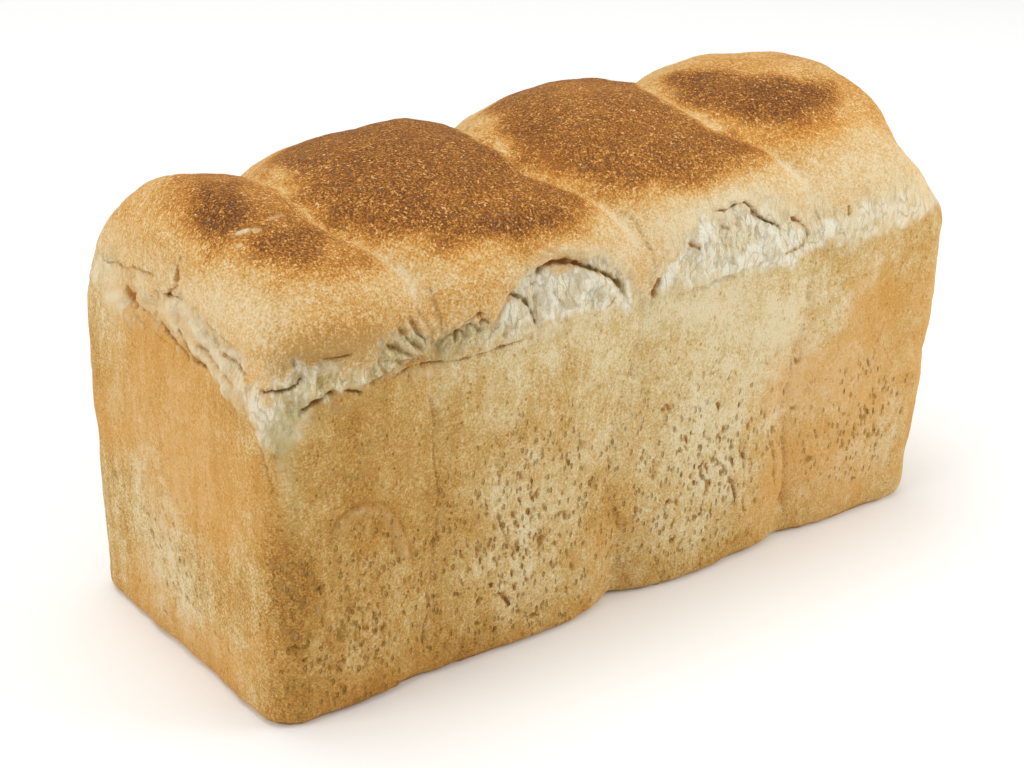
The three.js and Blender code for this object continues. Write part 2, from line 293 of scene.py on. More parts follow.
# ---- strokes: cracks, folds, lips and rolled beads of dough
# Each is where it lies, its path, half width, depth (raised where negative), height of the lip above it,
# its tint and the tint's strength; a dark tint is partly real browning and partly painted shade in the
# groove.
# Paths are (along, height) on a wall, (x, y) on the top and (x, y, z) round a corner.
drawnStrokes = (
    # first piece, corner and front
    ("round", ((-115, -42, 97), (-115, -46, 98), (-113, -49, 98.5), (-111, -50, 99.5), (-109, -51, 101.5)),
     .5, 1.12, .9, "dark", .9),
    ("round", ((-115, -44, 101), (-113, -48, 102), (-110, -50, 103)), 2.6, -.9, 0, "tan", .37),
    ("round", ((-113, -47, 103.5), (-111, -48.5, 104), (-109, -49.5, 104)), .36, .4, 0, "dark", .4),
    ("front", ((-104, 105), (-102, 105.2), (-99, 104.7), (-96, 105)), .4, 1.06, .54, "dark", .9),
    ("front", ((-104.5, 103), (-105, 100), (-105, 97)), .86, .46, 0, "dark", .3),
    ("front", ((-94, 102.5), (-92.5, 103.2)), .36, .53, 0, "dark", .7),
    ("front", ((-110, 92), (-107, 94), (-105, 94.6), (-102.5, 95.3), (-100, 96)), .58, 1.25, .27, "dark", .9),
    ("front", ((-98, 95.2), (-95, 94.2), (-92.5, 93.3)), .36, .79, .18, "dark", .8),
    ("front", ((-92, 95), (-89.5, 95.4), (-87, 96), (-84.5, 96.5), (-82, 97.5)), .43, .59, .63, "dark", .4),
    ("front", ((-79, 96.6), (-77.5, 97.2), (-75.5, 97.6)), .45, .5, 0, "amber", .7),
    ("front", ((-84, 94.6), (-80, 95.4), (-77, 96), (-74, 95.7), (-71, 95), (-67, 94.5), (-61, 94),
      (-54, 94.5), (-47, 95.2), (-40, 95.6)), .45, .9, .45, "dark", .8),
    ("front", ((-100, 97), (-99, 103)), 1, -.7, 0, "pale", .19),
    ("front", ((-94, 96), (-92, 101.5)), 1.1, -.7, 0, "pale", .25),
    ("front", ((-88, 97.5), (-85.5, 102)), 1.6, -.8, 0, "pale", .43),
    ("front", ((-78, 93), (-74, 93), (-69, 92)), 1.7, -.4, 0, "pale", .43),
    ("round", ((-114.5, -49.5, 88), (-112, -51, 86.5), (-109.5, -52, 86)), 1.7, -.6, 0, "pale", .43),
    ("round", ((-115, -49, 83.5), (-116, -48.5, 81.5), (-117, -47, 79)), .5, .66, .18, "dark", .6),
    ("round", ((-112, -52, 82.5), (-109, -52, 81), (-107, -52, 80)), .35, .2, 0, "dark", .3),
    ("round", ((-117, -47, 81), (-115, -50, 75), (-114, -51, 69), (-112, -52, 62)), 1.8, -.5, 0, "tan", .1),
    ("round", ((-117.5, -45, 82), (-117, -47, 76), (-116, -48.5, 70)), .5, .6, 0, "dark", .4),
    # second piece, front
    ("front", ((-37.5, 109), (-35.5, 111.5), (-32, 112.5), (-28, 112.2), (-24, 111), (-20, 109.2),
      (-16, 107.2), (-12, 104.5), (-9, 101.8), (-7.3, 99), (-6, 96)), .58, 1.32, 0, "dark", 1),
    ("front", ((-41, 109.5), (-37.5, 113.4), (-32, 115.4), (-26, 115.2), (-20, 113), (-15, 110.6),
      (-11, 107.5), (-8, 104), (-5.8, 100), (-4.8, 96.5)), 1.6, -1.2, 0, "pale", .37),
    ("front", ((-47.5, 107.5), (-45, 107.7), (-42, 105.7), (-40, 103), (-39, 100), (-38.3, 97.5)),
     .43, .79, 0, "dark", .8),
    ("front", ((-46, 109.8), (-42, 108.3), (-39.3, 105.6), (-37.4, 102), (-36.4, 98)),
     .9, -.8, 0, "pale", .31),
    ("front", ((-33, 106.5), (-31.3, 104), (-30, 101.5), (-30, 99.5), (-31.3, 98)), .36, .53, 0, "dark", .4),
    ("front", ((-36, 98), (-35, 104), (-34.5, 108)), 1.6, -.8, 0, "pale", .31),
    ("front", ((-27, 98.5), (-25, 104), (-21, 105.5), (-16, 103), (-14, 99.5)), 3, -1.2, 0, "pale", .31),
    ("front", ((-9.6, 102), (-11, 98.8), (-13, 97), (-16, 96), (-20, 95.2)), .35, .53, .18, "amber", .6),
    ("front", ((-24, 95), (-29, 95), (-34, 95), (-39, 95.3)), .35, .26, 0, "amber", .3),
    ("front", ((-61.5, 103.5), (-59, 105), (-57.5, 105.6), (-55, 105.6)), .36, .59, .27, "dark", .8),
    ("front", ((-68, 95.5), (-66, 98.5), (-64, 100)), .8, -.6, 0, "pale", .25),
    ("front", ((-63, 95.5), (-61, 99), (-59.5, 102.5)), .9, -.7, 0, "pale", .19),
    ("front", ((-57.5, 96), (-56.5, 99), (-54.5, 103)), .9, -.7, 0, "pale", .25),
    ("front", ((-52.5, 96.5), (-51, 100), (-49, 104.5), (-46.5, 105.6)), 1.2, -.8, 0, "pale", .37),
    ("front", ((-46.5, 96.5), (-44.5, 99.5), (-43, 102)), 1, -.6, 0, "pale", .25),
    ("front", ((-54.5, 97), (-53, 101)), .36, .46, 0, "dark", .3),
    ("front", ((-49, 97), (-47.2, 102)), .36, .46, 0, "dark", .3),
    ("front", ((-71.5, 97), (-78, 99.5), (-84.5, 104)), .5, .7, .2, "dark", .55),
    ("front", ((-71.2, 97.5), (-76, 102), (-80.5, 107.5)), .5, .7, .2, "dark", .55),
    ("front", ((-71, 98), (-73.5, 103), (-76.5, 109)), .5, .65, .2, "dark", .5),
    ("front", ((-72.5, 97), (-79, 98.3), (-87, 100)), .45, .6, .2, "dark", .5),
    ("front", ((-70, 98), (-70, 103), (-72, 107), (-73, 110)), .45, .4, .2, "tan", .7),
    ("front", ((-68, 99), (-66, 101), (-62, 103), (-59, 105), (-57, 106)), .45, .5, .3, "amber", .6),
    ("front", ((-64.2, 99.5), (-63, 102), (-62, 102), (-61, 99.5)), .5, .8, .2, "dark", .7),
    ("front", ((-67, 96), (-65.5, 99.5), (-65, 101.5)), .8, -1.2, 0, "pale", .5),
    ("front", ((-61.8, 96), (-60.5, 100), (-60, 103)), .8, -1.2, 0, "pale", .5),
    ("front", ((-55.5, 96), (-55, 100), (-53, 104)), .8, -1.2, 0, "pale", .5),
    ("front", ((-73, 98), (-77.5, 101), (-82.5, 106)), .8, -1.2, 0, "pale", .5),
    ("front", ((-72.3, 99), (-75, 103), (-78.5, 108.5)), .8, -1.2, 0, "pale", .5),
    ("front", ((-71.5, 99.5), (-73, 104), (-74.5, 108)), .8, -1, 0, "pale", .4),
    ("front", ((-74, 97.8), (-80, 99.2), (-86, 102)), .8, -1.2, 0, "pale", .5),
    ("front", ((-60.5, 99.5), (-60, 103), (-58, 102.5), (-57, 100)), .5, .8, .2, "dark", .7),
    ("front", ((-56.8, 100.5), (-56, 103), (-54.2, 103), (-53, 100)), .5, .8, .2, "dark", .7),
    ("front", ((-80, 97), (-82, 100.5), (-81, 103)), .5, .6, .2, "amber", .5),
    ("front", ((-85, 96.5), (-87, 99.5), (-86.5, 102)), .5, .6, .2, "amber", .5),
    ("front", ((-6.2, 94.3), (-5, 92)), .5, .46, 0, "amber", .6),
    # creases that run down over the shoulder
    ("round", ((-68, -46, 115), (-68, -48.5, 110), (-67.5, -50, 106.5), (-67.5, -51, 103), (-69, -51.5, 99)),
     .36, .35, .2, "tan", .8),
    ("round", ((-3, -41, 119), (0, -44, 116.5), (1.5, -47, 113), (2.5, -49.5, 109), (3, -51, 104),
      (2, -51.5, 99)), .36, .32, .3, "tan", .8),
    ("front", ((2.7, 95), (3, 98), (4.6, 101)), .86, .99, .18, "amber", .9),
    # third piece, front
    ("front", ((25, 115), (29, 114.7), (34, 115.2), (37, 115), (40, 112.4), (43, 109.6), (47, 107),
      (51, 104)), .47, .99, .63, "dark", .9),
    ("front", ((38.5, 112.8), (42, 110), (45, 108)), .72, .59, 0, "dark", .7),
    ("front", ((52, 109), (56, 106), (59.5, 103.5), (61, 101.5), (61.5, 99), (58, 97.6), (53, 97.6),
      (49, 97.8)), .36, .66, .27, "amber", .8),
    ("front", ((26, 112.5), (28, 110.3), (30.5, 109)), .43, .53, .18, "dark", .6),
    ("front", ((15, 108.5), (19, 106)), .5, .59, .18, "amber", .8),
    ("front", ((8, 94.4), (19, 94.7), (26, 95.3), (33, 96), (41, 96.4), (49, 97.6)),
     .7, .6, .09, "dark", .35),
    ("front", ((20, 103), (23, 107), (24, 111)), 1.6, -.7, 0, "pale", .31),
    ("front", ((31, 101), (34, 106), (35, 110.5)), 2, -.8, 0, "pale", .37),
    ("front", ((44, 101), (46, 104.5)), 1.4, -.7, 0, "pale", .25),
    ("front", ((52, 100), (55, 103.5)), 1.2, -.6, 0, "pale", .25),
    # fourth piece, front
    ("front", ((64, 107), (66, 104)), .43, .46, 0, "amber", .4),
    ("front", ((70, 108), (71, 104)), .36, .46, 0, "amber", .3),
    ("front", ((75.5, 107), (76, 103)), .5, .53, 0, "amber", .8),
    ("front", ((73, 100), (75, 97.5)), .36, .46, 0, "dark", .4),
    ("front", ((66, 98), (74, 97.5), (84, 97), (96, 97)), 1.6, -.3, 0, "pale", .5),
    # left end
    ("left", ((41, 104), (37, 104.2), (33, 105), (30, 106.3), (27, 106.3), (18, 108.7), (13, 109.7),
      (7, 110)), .42, .8, .45, "amber", .8),
    ("left", ((-7.5, 121), (-6, 118), (-5, 115.5), (-4, 113), (-2.6, 110.5), (1, 108), (2.5, 106)),
     .42, .7, .27, "amber", 1),
    ("left", ((7, 105), (3, 106.3), (-1, 107), (-5, 107.3)), .5, .9, .45, "dark", .9),
    ("left", ((7.5, 104.5), (9.5, 101.5), (8.5, 99), (5, 98.5)), .36, .53, 0, "dark", .3),
    ("left", ((-9, 109.6), (-13, 108.6), (-18, 107), (-23, 105.4), (-28, 104.6), (-34, 103.6)),
     .45, .7, .45, "amber", .6),
    ("left", ((4, 103), (0, 104.3), (-6, 104.4), (-11, 103), (-16, 101.8), (-22, 100.6), (-28, 99),
      (-34, 98)), 2.2, -1.5, 0, "pale", .85),
    ("left", ((-3, 101), (-6, 98.3), (-10, 97), (-14, 96), (-17, 95), (-22, 95)), .45, .8, 0, "dark", .8),
    ("left", ((6, 98.5), (0, 97), (-5, 96), (-10, 95), (-13, 94)), .4, .7, 0, "dark", .7),
    ("left", ((26, 101), (23, 99.4), (20, 98.4), (16, 98)), 1.1, 1, .27, "amber", .9),
    ("left", ((16, 98.2), (11, 98), (5, 97)), .36, .53, 0, "dark", .4),
    ("left", ((34, 98), (28, 96.5), (22, 95)), 2.6, -.7, 0, "pale", .75),
    ("left", ((18, 106), (12, 105.5)), 2.6, -.7, 0, "pale", .6),
    ("left", ((-24, 96), (-32, 94), (-38, 91)), 2.2, -.6, 0, "pale", .6),
    ("left", ((2, 101.5), (-4, 99), (-11, 98.3), (-18, 97.4), (-26, 95.6), (-34, 92.5), (-41, 89)),
     1.5, -1, 0, "pale", .6),
    ("left", ((22, 103.5), (16, 102.4), (10, 102.6)), 1.6, -.8, 0, "pale", .6),
    ("left", ((-20, 102.8), (-26, 101.6), (-33, 100.4), (-40, 98.6)), .4, .7, 0, "amber", .7),
    ("left", ((-12, 99.8), (-19, 98.6), (-27, 97.2), (-35, 95)), .38, .7, 0, "amber", .6),
    ("left", ((24, 97.5), (17, 95.8), (9, 95), (1, 94.6), (-6, 94)), .4, .6, 0, "amber", .5),
    # crown: two pale scratches and a brown streak
    ("top", ((-109.5, -21), (-106, -22.5), (-103, -24)), .5, -.2, 0, "pale", .7),
    ("top", ((-99, -20.3), (-94, -19.2)), .5, -.2, 0, "pale", .5),
    ("top", ((-111, -24), (-109, -25)), .6, -.1, 0, "pale", .6),
    ("top", ((-79, -29.5), (-74, -31.5)), .58, .13, 0, "dark", .4),
    # swirl and hook on the front wall
    ("front", ((-103, 53), (-100, 57), (-96, 59.6), (-92, 60), (-87, 57.5), (-83, 52), (-80, 45), (-78, 38)),
     1.6, -.45, 0, "pale", .27),
    ("front", ((-104, 55), (-101, 59.5), (-96, 62), (-91, 62), (-85.5, 59), (-81.3, 53), (-78.2, 45),
      (-76.5, 37)), .5, .5, 0, "amber", .5),
    ("front", ((-99, 52), (-96, 56), (-92, 57), (-88, 54.5), (-84.5, 49), (-82, 43), (-81, 37)),
     .5, .4, 0, "amber", .4),
    ("front", ((-102, 55.5), (-103.2, 51)), .5, .33, 0, "dark", .4),
    ("front", ((-85.3, 43), (-84.5, 40), (-84, 36.5)), .36, .4, .18, "dark", .5),
    ("front", ((-89, 69), (-88, 66.5), (-86, 64)), .35, .33, .18, "dark", .5),
    ("front", ((-91, 18), (-91, 14), (-92.6, 11)), .36, .4, 0, "dark", .5),
    ("front", ((-108, 23.5), (-111, 20)), .5, .46, .09, "dark", .6),
    ("front", ((-110, 15), (-106, 13.5), (-102, 12.5)), .36, .33, .09, "amber", .6),
    # longer bubbles against the tin
    ("front", ((-49.5, 45.5), (-48, 41), (-47, 38), (-45.3, 34.5)), .5, .66, .18, "dark", .6),
    ("front", ((-50.5, 19.5), (-48, 19.5), (-46, 17), (-44, 13.5)), .65, .73, .27, "dark", .7),
    ("front", ((-43, 30.8), (-40, 31.2), (-38, 28.5)), .5, .59, .18, "dark", .5),
    ("front", ((-30, 62), (-28.5, 57.5)), .36, .4, 0, "amber", .7),
    ("front", ((7, 60.5), (9, 61.3), (10.3, 58)), .43, .46, .18, "amber", .7),
    ("front", ((8, 55.5), (11, 54), (14, 51)), .43, .46, .09, "dark", .4),
    ("front", ((17, 56), (19, 58), (22, 57)), .43, .46, .18, "dark", .4),
    ("front", ((26, 57.3), (28, 56.7), (29, 54)), .43, .46, .09, "dark", .4),
    ("front", ((24, 47.8), (27, 44.5)), .58, .53, .09, "dark", .45),
    ("front", ((28, 35), (30, 36.3), (33, 34.6), (33.2, 31)), .5, .66, .27, "dark", .6),
    ("front", ((35, 31), (37, 27.5), (38.7, 23.5), (39, 19)), .58, .73, .18, "dark", .7),
    ("front", ((12.6, 30.5), (11, 27.5), (11.6, 23.5)), .65, .73, .18, "dark", .7),
    ("front", ((52, 38), (53, 34), (54.5, 30), (56, 22)), .5, .46, 0, "amber", .7),
    ("front", ((41, 39), (41.5, 34), (42, 30)), .43, .53, .09, "amber", .5),
    ("front", ((6, 45), (6, 38)), .65, .59, 0, "amber", .6),
    ("front", ((46, 51), (48, 47.5)), .58, .46, 0, "amber", .6),
    ("front", ((69.3, 36.5), (71, 32.5)), .5, .53, .09, "dark", .5),
)
# a dark tint along a groove is partly real browning and partly painted shade
tints = ("dark", "amber", "pale", "tan")


# Which axis each side faces along, and which way
facings = {"front": (1, -1), "back": (1, 1), "left": (0, -1), "right": (0, 1), "top": (2, 1)}


# Turns a spot on a side into a point on the crust
def onCrust(where, first, second):
    axis, way = facings[where]
    start = [float(first), float(second)]
    start.insert(axis, block["strokeFrom"] if where == "top" else 0)
    away = way * np.eye(3)[axis]
    inside, outside = 0, block["strokeReach"]
    for halving in range(block["castHalvings"]):
        middle = (inside + outside) / 2
        spot = np.array(start) + middle * away
        if surfaceGap(spot[None])[0] < 0:
            inside = middle
        else:
            outside = middle
    return spot


# A smooth curve through a path's points
def throughPoints(path):
    path = np.asarray(path, float)
    ends = np.vstack([2 * path[0] - path[1], path, 2 * path[-1] - path[-2]])
    curve = []
    for i in range(1, len(ends) - 2):
        before, start, end, after = ends[i - 1:i + 3]
        count = max(int(np.linalg.norm(end - start) / block["strokeSpacing"]), 2)
        t = np.linspace(0, 1, count, endpoint=False)[:, None]
        bend = 2 * before - 5 * start + 4 * end - after
        swing = 3 * start - before - 3 * end + after
        curve.append((2 * start + (end - before) * t + bend * t ** 2 + swing * t ** 3) / 2)
    return np.vstack(curve + [path[-1:]])


def strokeCurve(where, path):
    if where == "round":
        return throughPoints(castOnto(np.array(path, float)))
    return throughPoints([onCrust(where, *spot) for spot in path])


# Distance from each point to a curve within reach, how far along the curve it is, and the side it lies on
def nearCurve(points, curve, reach):
    close = np.all((points > curve.min(0) - reach) & (points < curve.max(0) + reach), axis=1).nonzero()[0]
    if len(close) == 0:
        return close, None, None, None
    gaps = points[close][:, None] - curve[None]
    distances = np.linalg.norm(gaps, axis=2)
    nearest = distances.argmin(1)
    rows = np.arange(len(close))
    return close, distances[rows, nearest], nearest / (len(curve) - 1), gaps[rows, nearest, 2]


# Strokes that aren't drawn by hand: the line each seam leaves down both walls, and cracks, lips and ribs of
# dough under the arches of the back wall and the right end, but for the end's arch nearest the front.
scattered = {
    "seed": 8, "wallY": 52, "seamFrom": 3, "seamTo": 95, "seamStep": 6, "seamWobble": .5,
    "seam": (.42, .38, .1, "dark", .55), "crack": (.5, 1.1, .5, "dark", .8), "lip": (1.5, -.9, 0, "tan", .4),
    "plainUpTo": -30, "endHalf": 40, "crackSpots": 7, "lipSpots": 5, "crackReach": (.4, .9),
    "crackDrop": (.4, 1.8), "lipRise": 1.3,
    "rib": (1.3, -.8, 0, "pale", .35), "ribs": 4, "ribSpread": .7, "ribFoot": 96.5, "ribKnee": (.8, 99),
    "ribDrop": 2.5, "wrinkle": (.4, .6, 0, "amber", .6), "wrinkles": 2, "wrinkleSpread": .8,
    "wrinkleDrop": (2, 4), "wrinkleRun": 7, "wrinkleFall": 3,
    "dimple": (.5, .6, .1, "dark", .5), "dimples": 9, "dimpleSpread": {"back": 90, "right": 38},
    "dimpleHeight": (12, 70), "dimpleTurn": 1.5, "dimpleLength": (3, 9), "dimpleHook": 1.6,
}


# A spot under an arch, from its left foot at -1 to its right foot at 1, and this far below its lip
def underArch(where, arch, share, drop):
    middle, halfWidth, rise, depth = arch
    along = middle + share * halfWidth
    if where == "right":
        along = np.clip(along, -scattered["endHalf"], scattered["endHalf"])
    return along, tears["lipHeight"] + rise * max(1 - share ** 2, 0) ** tears["roundness"] - drop


def seamStrokes(random):
    width, depth, lip, tint, strength = scattered["seam"]
    lines = []
    for seam in creases["seams"]:
        for where, y in (("front", -scattered["wallY"]), ("back", scattered["wallY"])):
            heights = np.arange(scattered["seamFrom"], scattered["seamTo"], scattered["seamStep"])
            wobble = random.normal(0, scattered["seamWobble"], len(heights))
            path = [(seamX(seam, y, z) + shift, z) for z, shift in zip(heights, wobble)]
            faint = seam["line"]
            lines.append((where, path, width, depth * faint, lip * faint, tint, strength * faint))
    return lines


def archStrokes(random, where, arch):
    near, far = scattered["crackReach"]
    across = np.linspace(random.uniform(-far, -near), random.uniform(near, far), scattered["crackSpots"])
    crack = [underArch(where, arch, share, random.uniform(*scattered["crackDrop"])) for share in across]
    lip = [underArch(where, arch, share, -scattered["lipRise"]) for share in across[:scattered["lipSpots"]]]
    lines = [(where, crack, *scattered["crack"]), (where, lip, *scattered["lip"])]
    for share in random.uniform(-scattered["ribSpread"], scattered["ribSpread"], scattered["ribs"]):
        foot = underArch(where, arch, share, 0)[0]
        lean, knee = scattered["ribKnee"]
        head = underArch(where, arch, share, scattered["ribDrop"])
        lines.append((where, [(foot, scattered["ribFoot"]), (foot + lean, knee), head], *scattered["rib"]))
    spread = scattered["wrinkleSpread"]
    for share in random.uniform(-spread, spread, scattered["wrinkles"]):
        start = underArch(where, arch, share, random.uniform(*scattered["wrinkleDrop"]))
        run = random.uniform(-scattered["wrinkleRun"], scattered["wrinkleRun"])
        end = start[0] + run, start[1] - random.uniform(0, scattered["wrinkleFall"])
        lines.append((where, [start, end], *scattered["wrinkle"]))
    return lines


def dimpleStroke(random, where):
    spread = scattered["dimpleSpread"][where]
    x, z = random.uniform(-spread, spread), random.uniform(*scattered["dimpleHeight"])
    turn, length = random.normal(0, scattered["dimpleTurn"]), random.uniform(*scattered["dimpleLength"])
    path = [(x, z), (x + turn, z - length / 2), (x + scattered["dimpleHook"] * turn, z - length)]
    return where, path, *scattered["dimple"]


def scatterStrokes():
    random = np.random.default_rng(scattered["seed"])
    lines = seamStrokes(random)
    for where in ("back", "right"):
        for arch in tears[where]:
            if where == "back" or arch[0] >= scattered["plainUpTo"]:
                lines += archStrokes(random, where, arch)
        lines += [dimpleStroke(random, where) for dimple in range(scattered["dimples"])]
    return tuple(lines)


strokes = drawnStrokes + scatterStrokes()
strokeCurves = [strokeCurve(stroke[0], stroke[1]) for stroke in strokes]
print("strokes traced:", len(strokeCurves))

# ---- pits left by bubbles in the dough against the tin
# Patches are wall, along, height, half size along, half size up, how many, and how wide in millimetres
pitting = {
    "seed": 5,
    "patches": (
        ("front", -95, 24, 21, 24, 120, 1.0),
        ("front", -40, 34, 26, 30, 110, 1.1),
        ("front", 26, 34, 30, 32, 120, 1.15),
        ("front", 90, 32, 22, 24, 60, 1.1),
        ("left", -4, 28, 36, 26, 70, .9),
        ("back", -80, 30, 26, 26, 130, 1.15),
        ("back", -14, 32, 27, 30, 140, 1.3),
        ("back", 60, 34, 30, 28, 140, 1.25),
        ("right", 4, 34, 36, 28, 110, 1.1),
    ),
    "crowding": .42, "spread": 1.5, "size": (.5, 1.35), "tallness": (1.4, 3.2), "depth": (.2, .5),
    "lean": .18, "lowest": 3, "bigWidth": 1.25, "bigHeight": 1.15, "bigLean": (-.1, .15), "bigDepth": .95,
    "facing": .7, "floor": 1.15, "taper": .3,
}

# The biggest pits of the front wall: along, height, half width and half height
bigPits = (
    (-36, 47, .7, 1.6), (-42, 54, .6, 1.3), (-38, 51, .5, 1.2), (-42, 47, .7, .7), (-31, 56, .6, .8),
    (-26, 54, .5, 1.5), (-44, 43, .8, 1.3), (-43, 40, .8, 1.3), (-47, 34, .6, 1.4), (-52, 36, .7, 1),
    (-56, 36, .7, 1.3), (-59, 38, .6, .7), (-61, 36, .5, 1.8), (-50, 31, .7, 1), (-44, 25, .6, 1.3),
    (-55, 33, .5, 1.6), (-52, 27, .5, 1.3), (-51, 23, .7, .8), (-36, 8, 1.2, .7), (-33, 10, .5, 1.5),
    (-39, 21, .6, 1.4), (-22, 19, .8, 1.4), (-18, 25, .7, 1), (-24, 24, .6, 2.1), (-26, 37, .7, 1.9),
    (-34, 32, 1.3, 1.4), (-29, 29, .6, 1.2), (-55, 12, .9, .7), (-62, 24, .8, .6), (-49, 8, .9, 1.4),
    (-41, 11, .9, .7), (-56, 52, .5, 1.2), (-55, 49, .5, .9), (-53, 46, .7, .9), (-17, 44, .5, .8),
    (8, 60, .8, .9), (32, 47, .8, 1.6), (36, 40, .5, .7), (41, 36, .5, 2), (32, 29, .6, 1), (40, 26, .6, .9),
    (20, 31, .5, .9), (21, 24, .6, .9), (25, 21, .8, .8), (28, 11, .9, .9), (41, 7, .7, 1), (43, 17, .6, 1.2),
    (48, 18, .6, 1.3), (51, 13, .6, 1.5), (67, 35, .6, 1.2), (70, 26, .6, .8), (15, 15, .7, 1.3),
    (-100, 25, .9, 2), (-86, 17, .9, 1.2), (-106, 19, 1, .9), (-113, 25, 1.3, .6), (-109, 28, .7, 1.4),
    (-94, 31, .7, .7), (-94, 46, .5, 1), (-89, 27, .6, 1.3), (-86, 23, .6, 1.5), (-79, 24, .7, .9),
    (-106, 41, 1.2, .8), (-111, 38, .7, 1.2), (-115, 40, .9, .9), (-115, 32, .8, 1), (-100, 14, .8, 1),
)


def scatterPits():
    random = np.random.default_rng(pitting["seed"])
    pits = []
    for wall, along, height, halfAlong, halfUp, count, width in pitting["patches"]:
        for i in range(count):
            x, z = np.sqrt(random.uniform()) * random.normal(0, pitting["crowding"], 2) * pitting["spread"]
            half = width / 2 * random.uniform(*pitting["size"])
            tall = half * random.uniform(*pitting["tallness"])
            lean, depth = random.normal(0, pitting["lean"]), random.uniform(*pitting["depth"])
            spot = along + x * halfAlong, max(height + z * halfUp, pitting["lowest"])
            pits.append((wall, *spot, half, tall, lean, depth * half * 2))
    for along, height, half, tall in bigPits:
        wide, tall = half * pitting["bigWidth"], tall * pitting["bigHeight"]
        lean, depth = random.normal(*pitting["bigLean"]), pitting["bigDepth"] * half
        pits.append(("front", along, height, wide, tall, lean, depth))
    return pits


pits = scatterPits()
print("pits scattered:", len(pits))


# How far each point sinks in a pit, and how far inside one it is, from 0 to 1
def pitDents(points, normals):
    dent, inside = np.zeros(len(points)), np.zeros(len(points))
    for wall in ("front", "back", "left", "right"):
        axis, way = facings[wall]
        rowsHere = (normals[:, axis] * way > pitting["facing"]).nonzero()[0]
        rowsHere = rowsHere[np.argsort(points[rowsHere, 1 - axis])]
        along, height = points[rowsHere, 1 - axis], points[rowsHere, 2]
        for pitWall, pitAlong, pitHeight, half, tall, lean, depth in pits:
            if pitWall != wall:
                continue
            first, last = np.searchsorted(along, (pitAlong - half - tall, pitAlong + half + tall))
            above = height[first:last] - pitHeight
            up = above / tall
            across = (along[first:last] - pitAlong - lean * above) / (half * (1 - pitting["taper"] * up))
            share = np.clip(pitting["floor"] - up ** 2 - across ** 2, 0, 1)
            rows = rowsHere[first:last]
            dent[rows] = np.maximum(dent[rows], depth * share)
            inside[rows] = np.maximum(inside[rows], share)
    return dent, inside


# ---- which parts of the block get finer cells
detail = {
    "bandBelow": 9, "bandAbove": 3, "seamReach": 5, "seamAbove": 100, "footHeight": 3.5, "footFrom": .1,
    "fineReach": 3.4, "finestReach": 1.7, "sharpReach": .75, "sharpDepth": .35,
    "pitsBeyond": (113, 45), "pitsWithin": .9, "widePits": 1,
    "finestFront": -44, "finestLeft": -112, "finestHeight": 96, "finestAbove": 1, "finestBefore": -40,
}


def nearCuts(points, reach, leastDepth=-math.inf):
    near = np.zeros(len(points), bool)
    for stroke, curve in zip(strokes, strokeCurves):
        if stroke[3] < leastDepth:
            continue
        close, distance, along, above = nearCurve(points, curve, reach)
        if len(close):
            near[close] |= distance < reach
    return near


def nearPits(points, minimum):
    near = np.zeros(len(points), bool)
    for wall, along, height, halfAlong, halfUp, count, width in pitting["patches"]:
        axis, way = facings[wall]
        facing = points[:, axis] * way > detail["pitsBeyond"][axis]
        x = (points[:, 1 - axis] - along) / halfAlong
        z = (points[:, 2] - height) / halfUp
        if width >= minimum:
            near |= facing & (x ** 2 + z ** 2 < detail["pitsWithin"])
    return near


def highestLip(points):
    sides = np.where(points[:, 1] < 0, raggedLip(points, "front")[0], raggedLip(points, "back")[0])
    ends = np.where(points[:, 0] < 0, raggedLip(points, "left")[0], raggedLip(points, "right")[0])
    atEnd = np.abs(points[:, 0]) - form["length"] / 2 > np.abs(points[:, 1]) - form["width"] / 2
    return np.where(atEnd, ends, sides)


def wantsFine(points):
    z = points[:, 2]
    lip = highestLip(points)
    band = (z > form["rimHeight"] - detail["bandBelow"]) & (z < lip + detail["bandAbove"])
    seam, notch, deep = nearestSeam(*points.T)
    onCrease = (np.abs(seam) < detail["seamReach"]) & (z > detail["seamAbove"])
    foot = (z < detail["footHeight"]) & (z > detail["footFrom"])
    return band | onCrease | foot | nearCuts(points, detail["fineReach"]) | nearPits(points, 0)


def wantsFinest(points):
    x, y, z = points.T
    front = (y < detail["finestFront"]) | (x < detail["finestLeft"])
    band = (z > detail["finestHeight"]) & (z < highestLip(points) + detail["finestAbove"])
    chosen = (front & band) | nearPits(points, detail["widePits"])
    return nearCuts(points, detail["finestReach"]) | (chosen & (y < detail["finestBefore"]))


def wantsSharpest(points):
    return nearCuts(points, detail["sharpReach"], detail["sharpDepth"])


# ---- relief: torn fibres, lips, pits and the roughness of the crust
relief = {
    "rimHeight": 95.5, "rimWander": ((1.3, 15, 12),), "cornerAt": (-117, -50),
    "cornerSag": 14, "cornerSize": 9,
    "fray": ((2.2, 4, 13), (1.2, 1.6, 14)), "rimSoft": 8, "lipBare": 1.8,
    "tornSoft": 5, "tornSoftRight": 4, "tornSoftOver": 30,
    "tornLumps": ((.8, 6, 22),), "fibre": .4, "fibreSize": (1.5, 1.5, 6), "fibreSlant": .55,
    "calmFrom": 48, "calmOver": 20, "calming": .5, "cavityShadeGain": 1.2,
    "sideFrom": .6, "sideOver": .2, "facing": .7,
    "crust": ((.16, 3.2, 23),), "blisters": ((.3, 9, 24),),
    "seamWander": ((1.2, 9, 25),), "creaseGroove": .8, "creaseWidth": 1.7, "creaseFrom": 112, "creaseOver": 6,
    "wallSeamGroove": .5, "wallSeamWidth": 1.1, "wallSeamBreaks": ((.6, 12, 26),), "wallSeamShare": .6,
    "wallSeamFoot": 3, "wallSeamFootSoft": 8, "wallSeamHead": 96, "wallSeamHeadSoft": 4,
    "foot": .7, "footBreaks": ((.5, 9, 27),),
    "footShare": .5, "footReach": 4, "footFrom": .2, "flatBelow": .05,
}


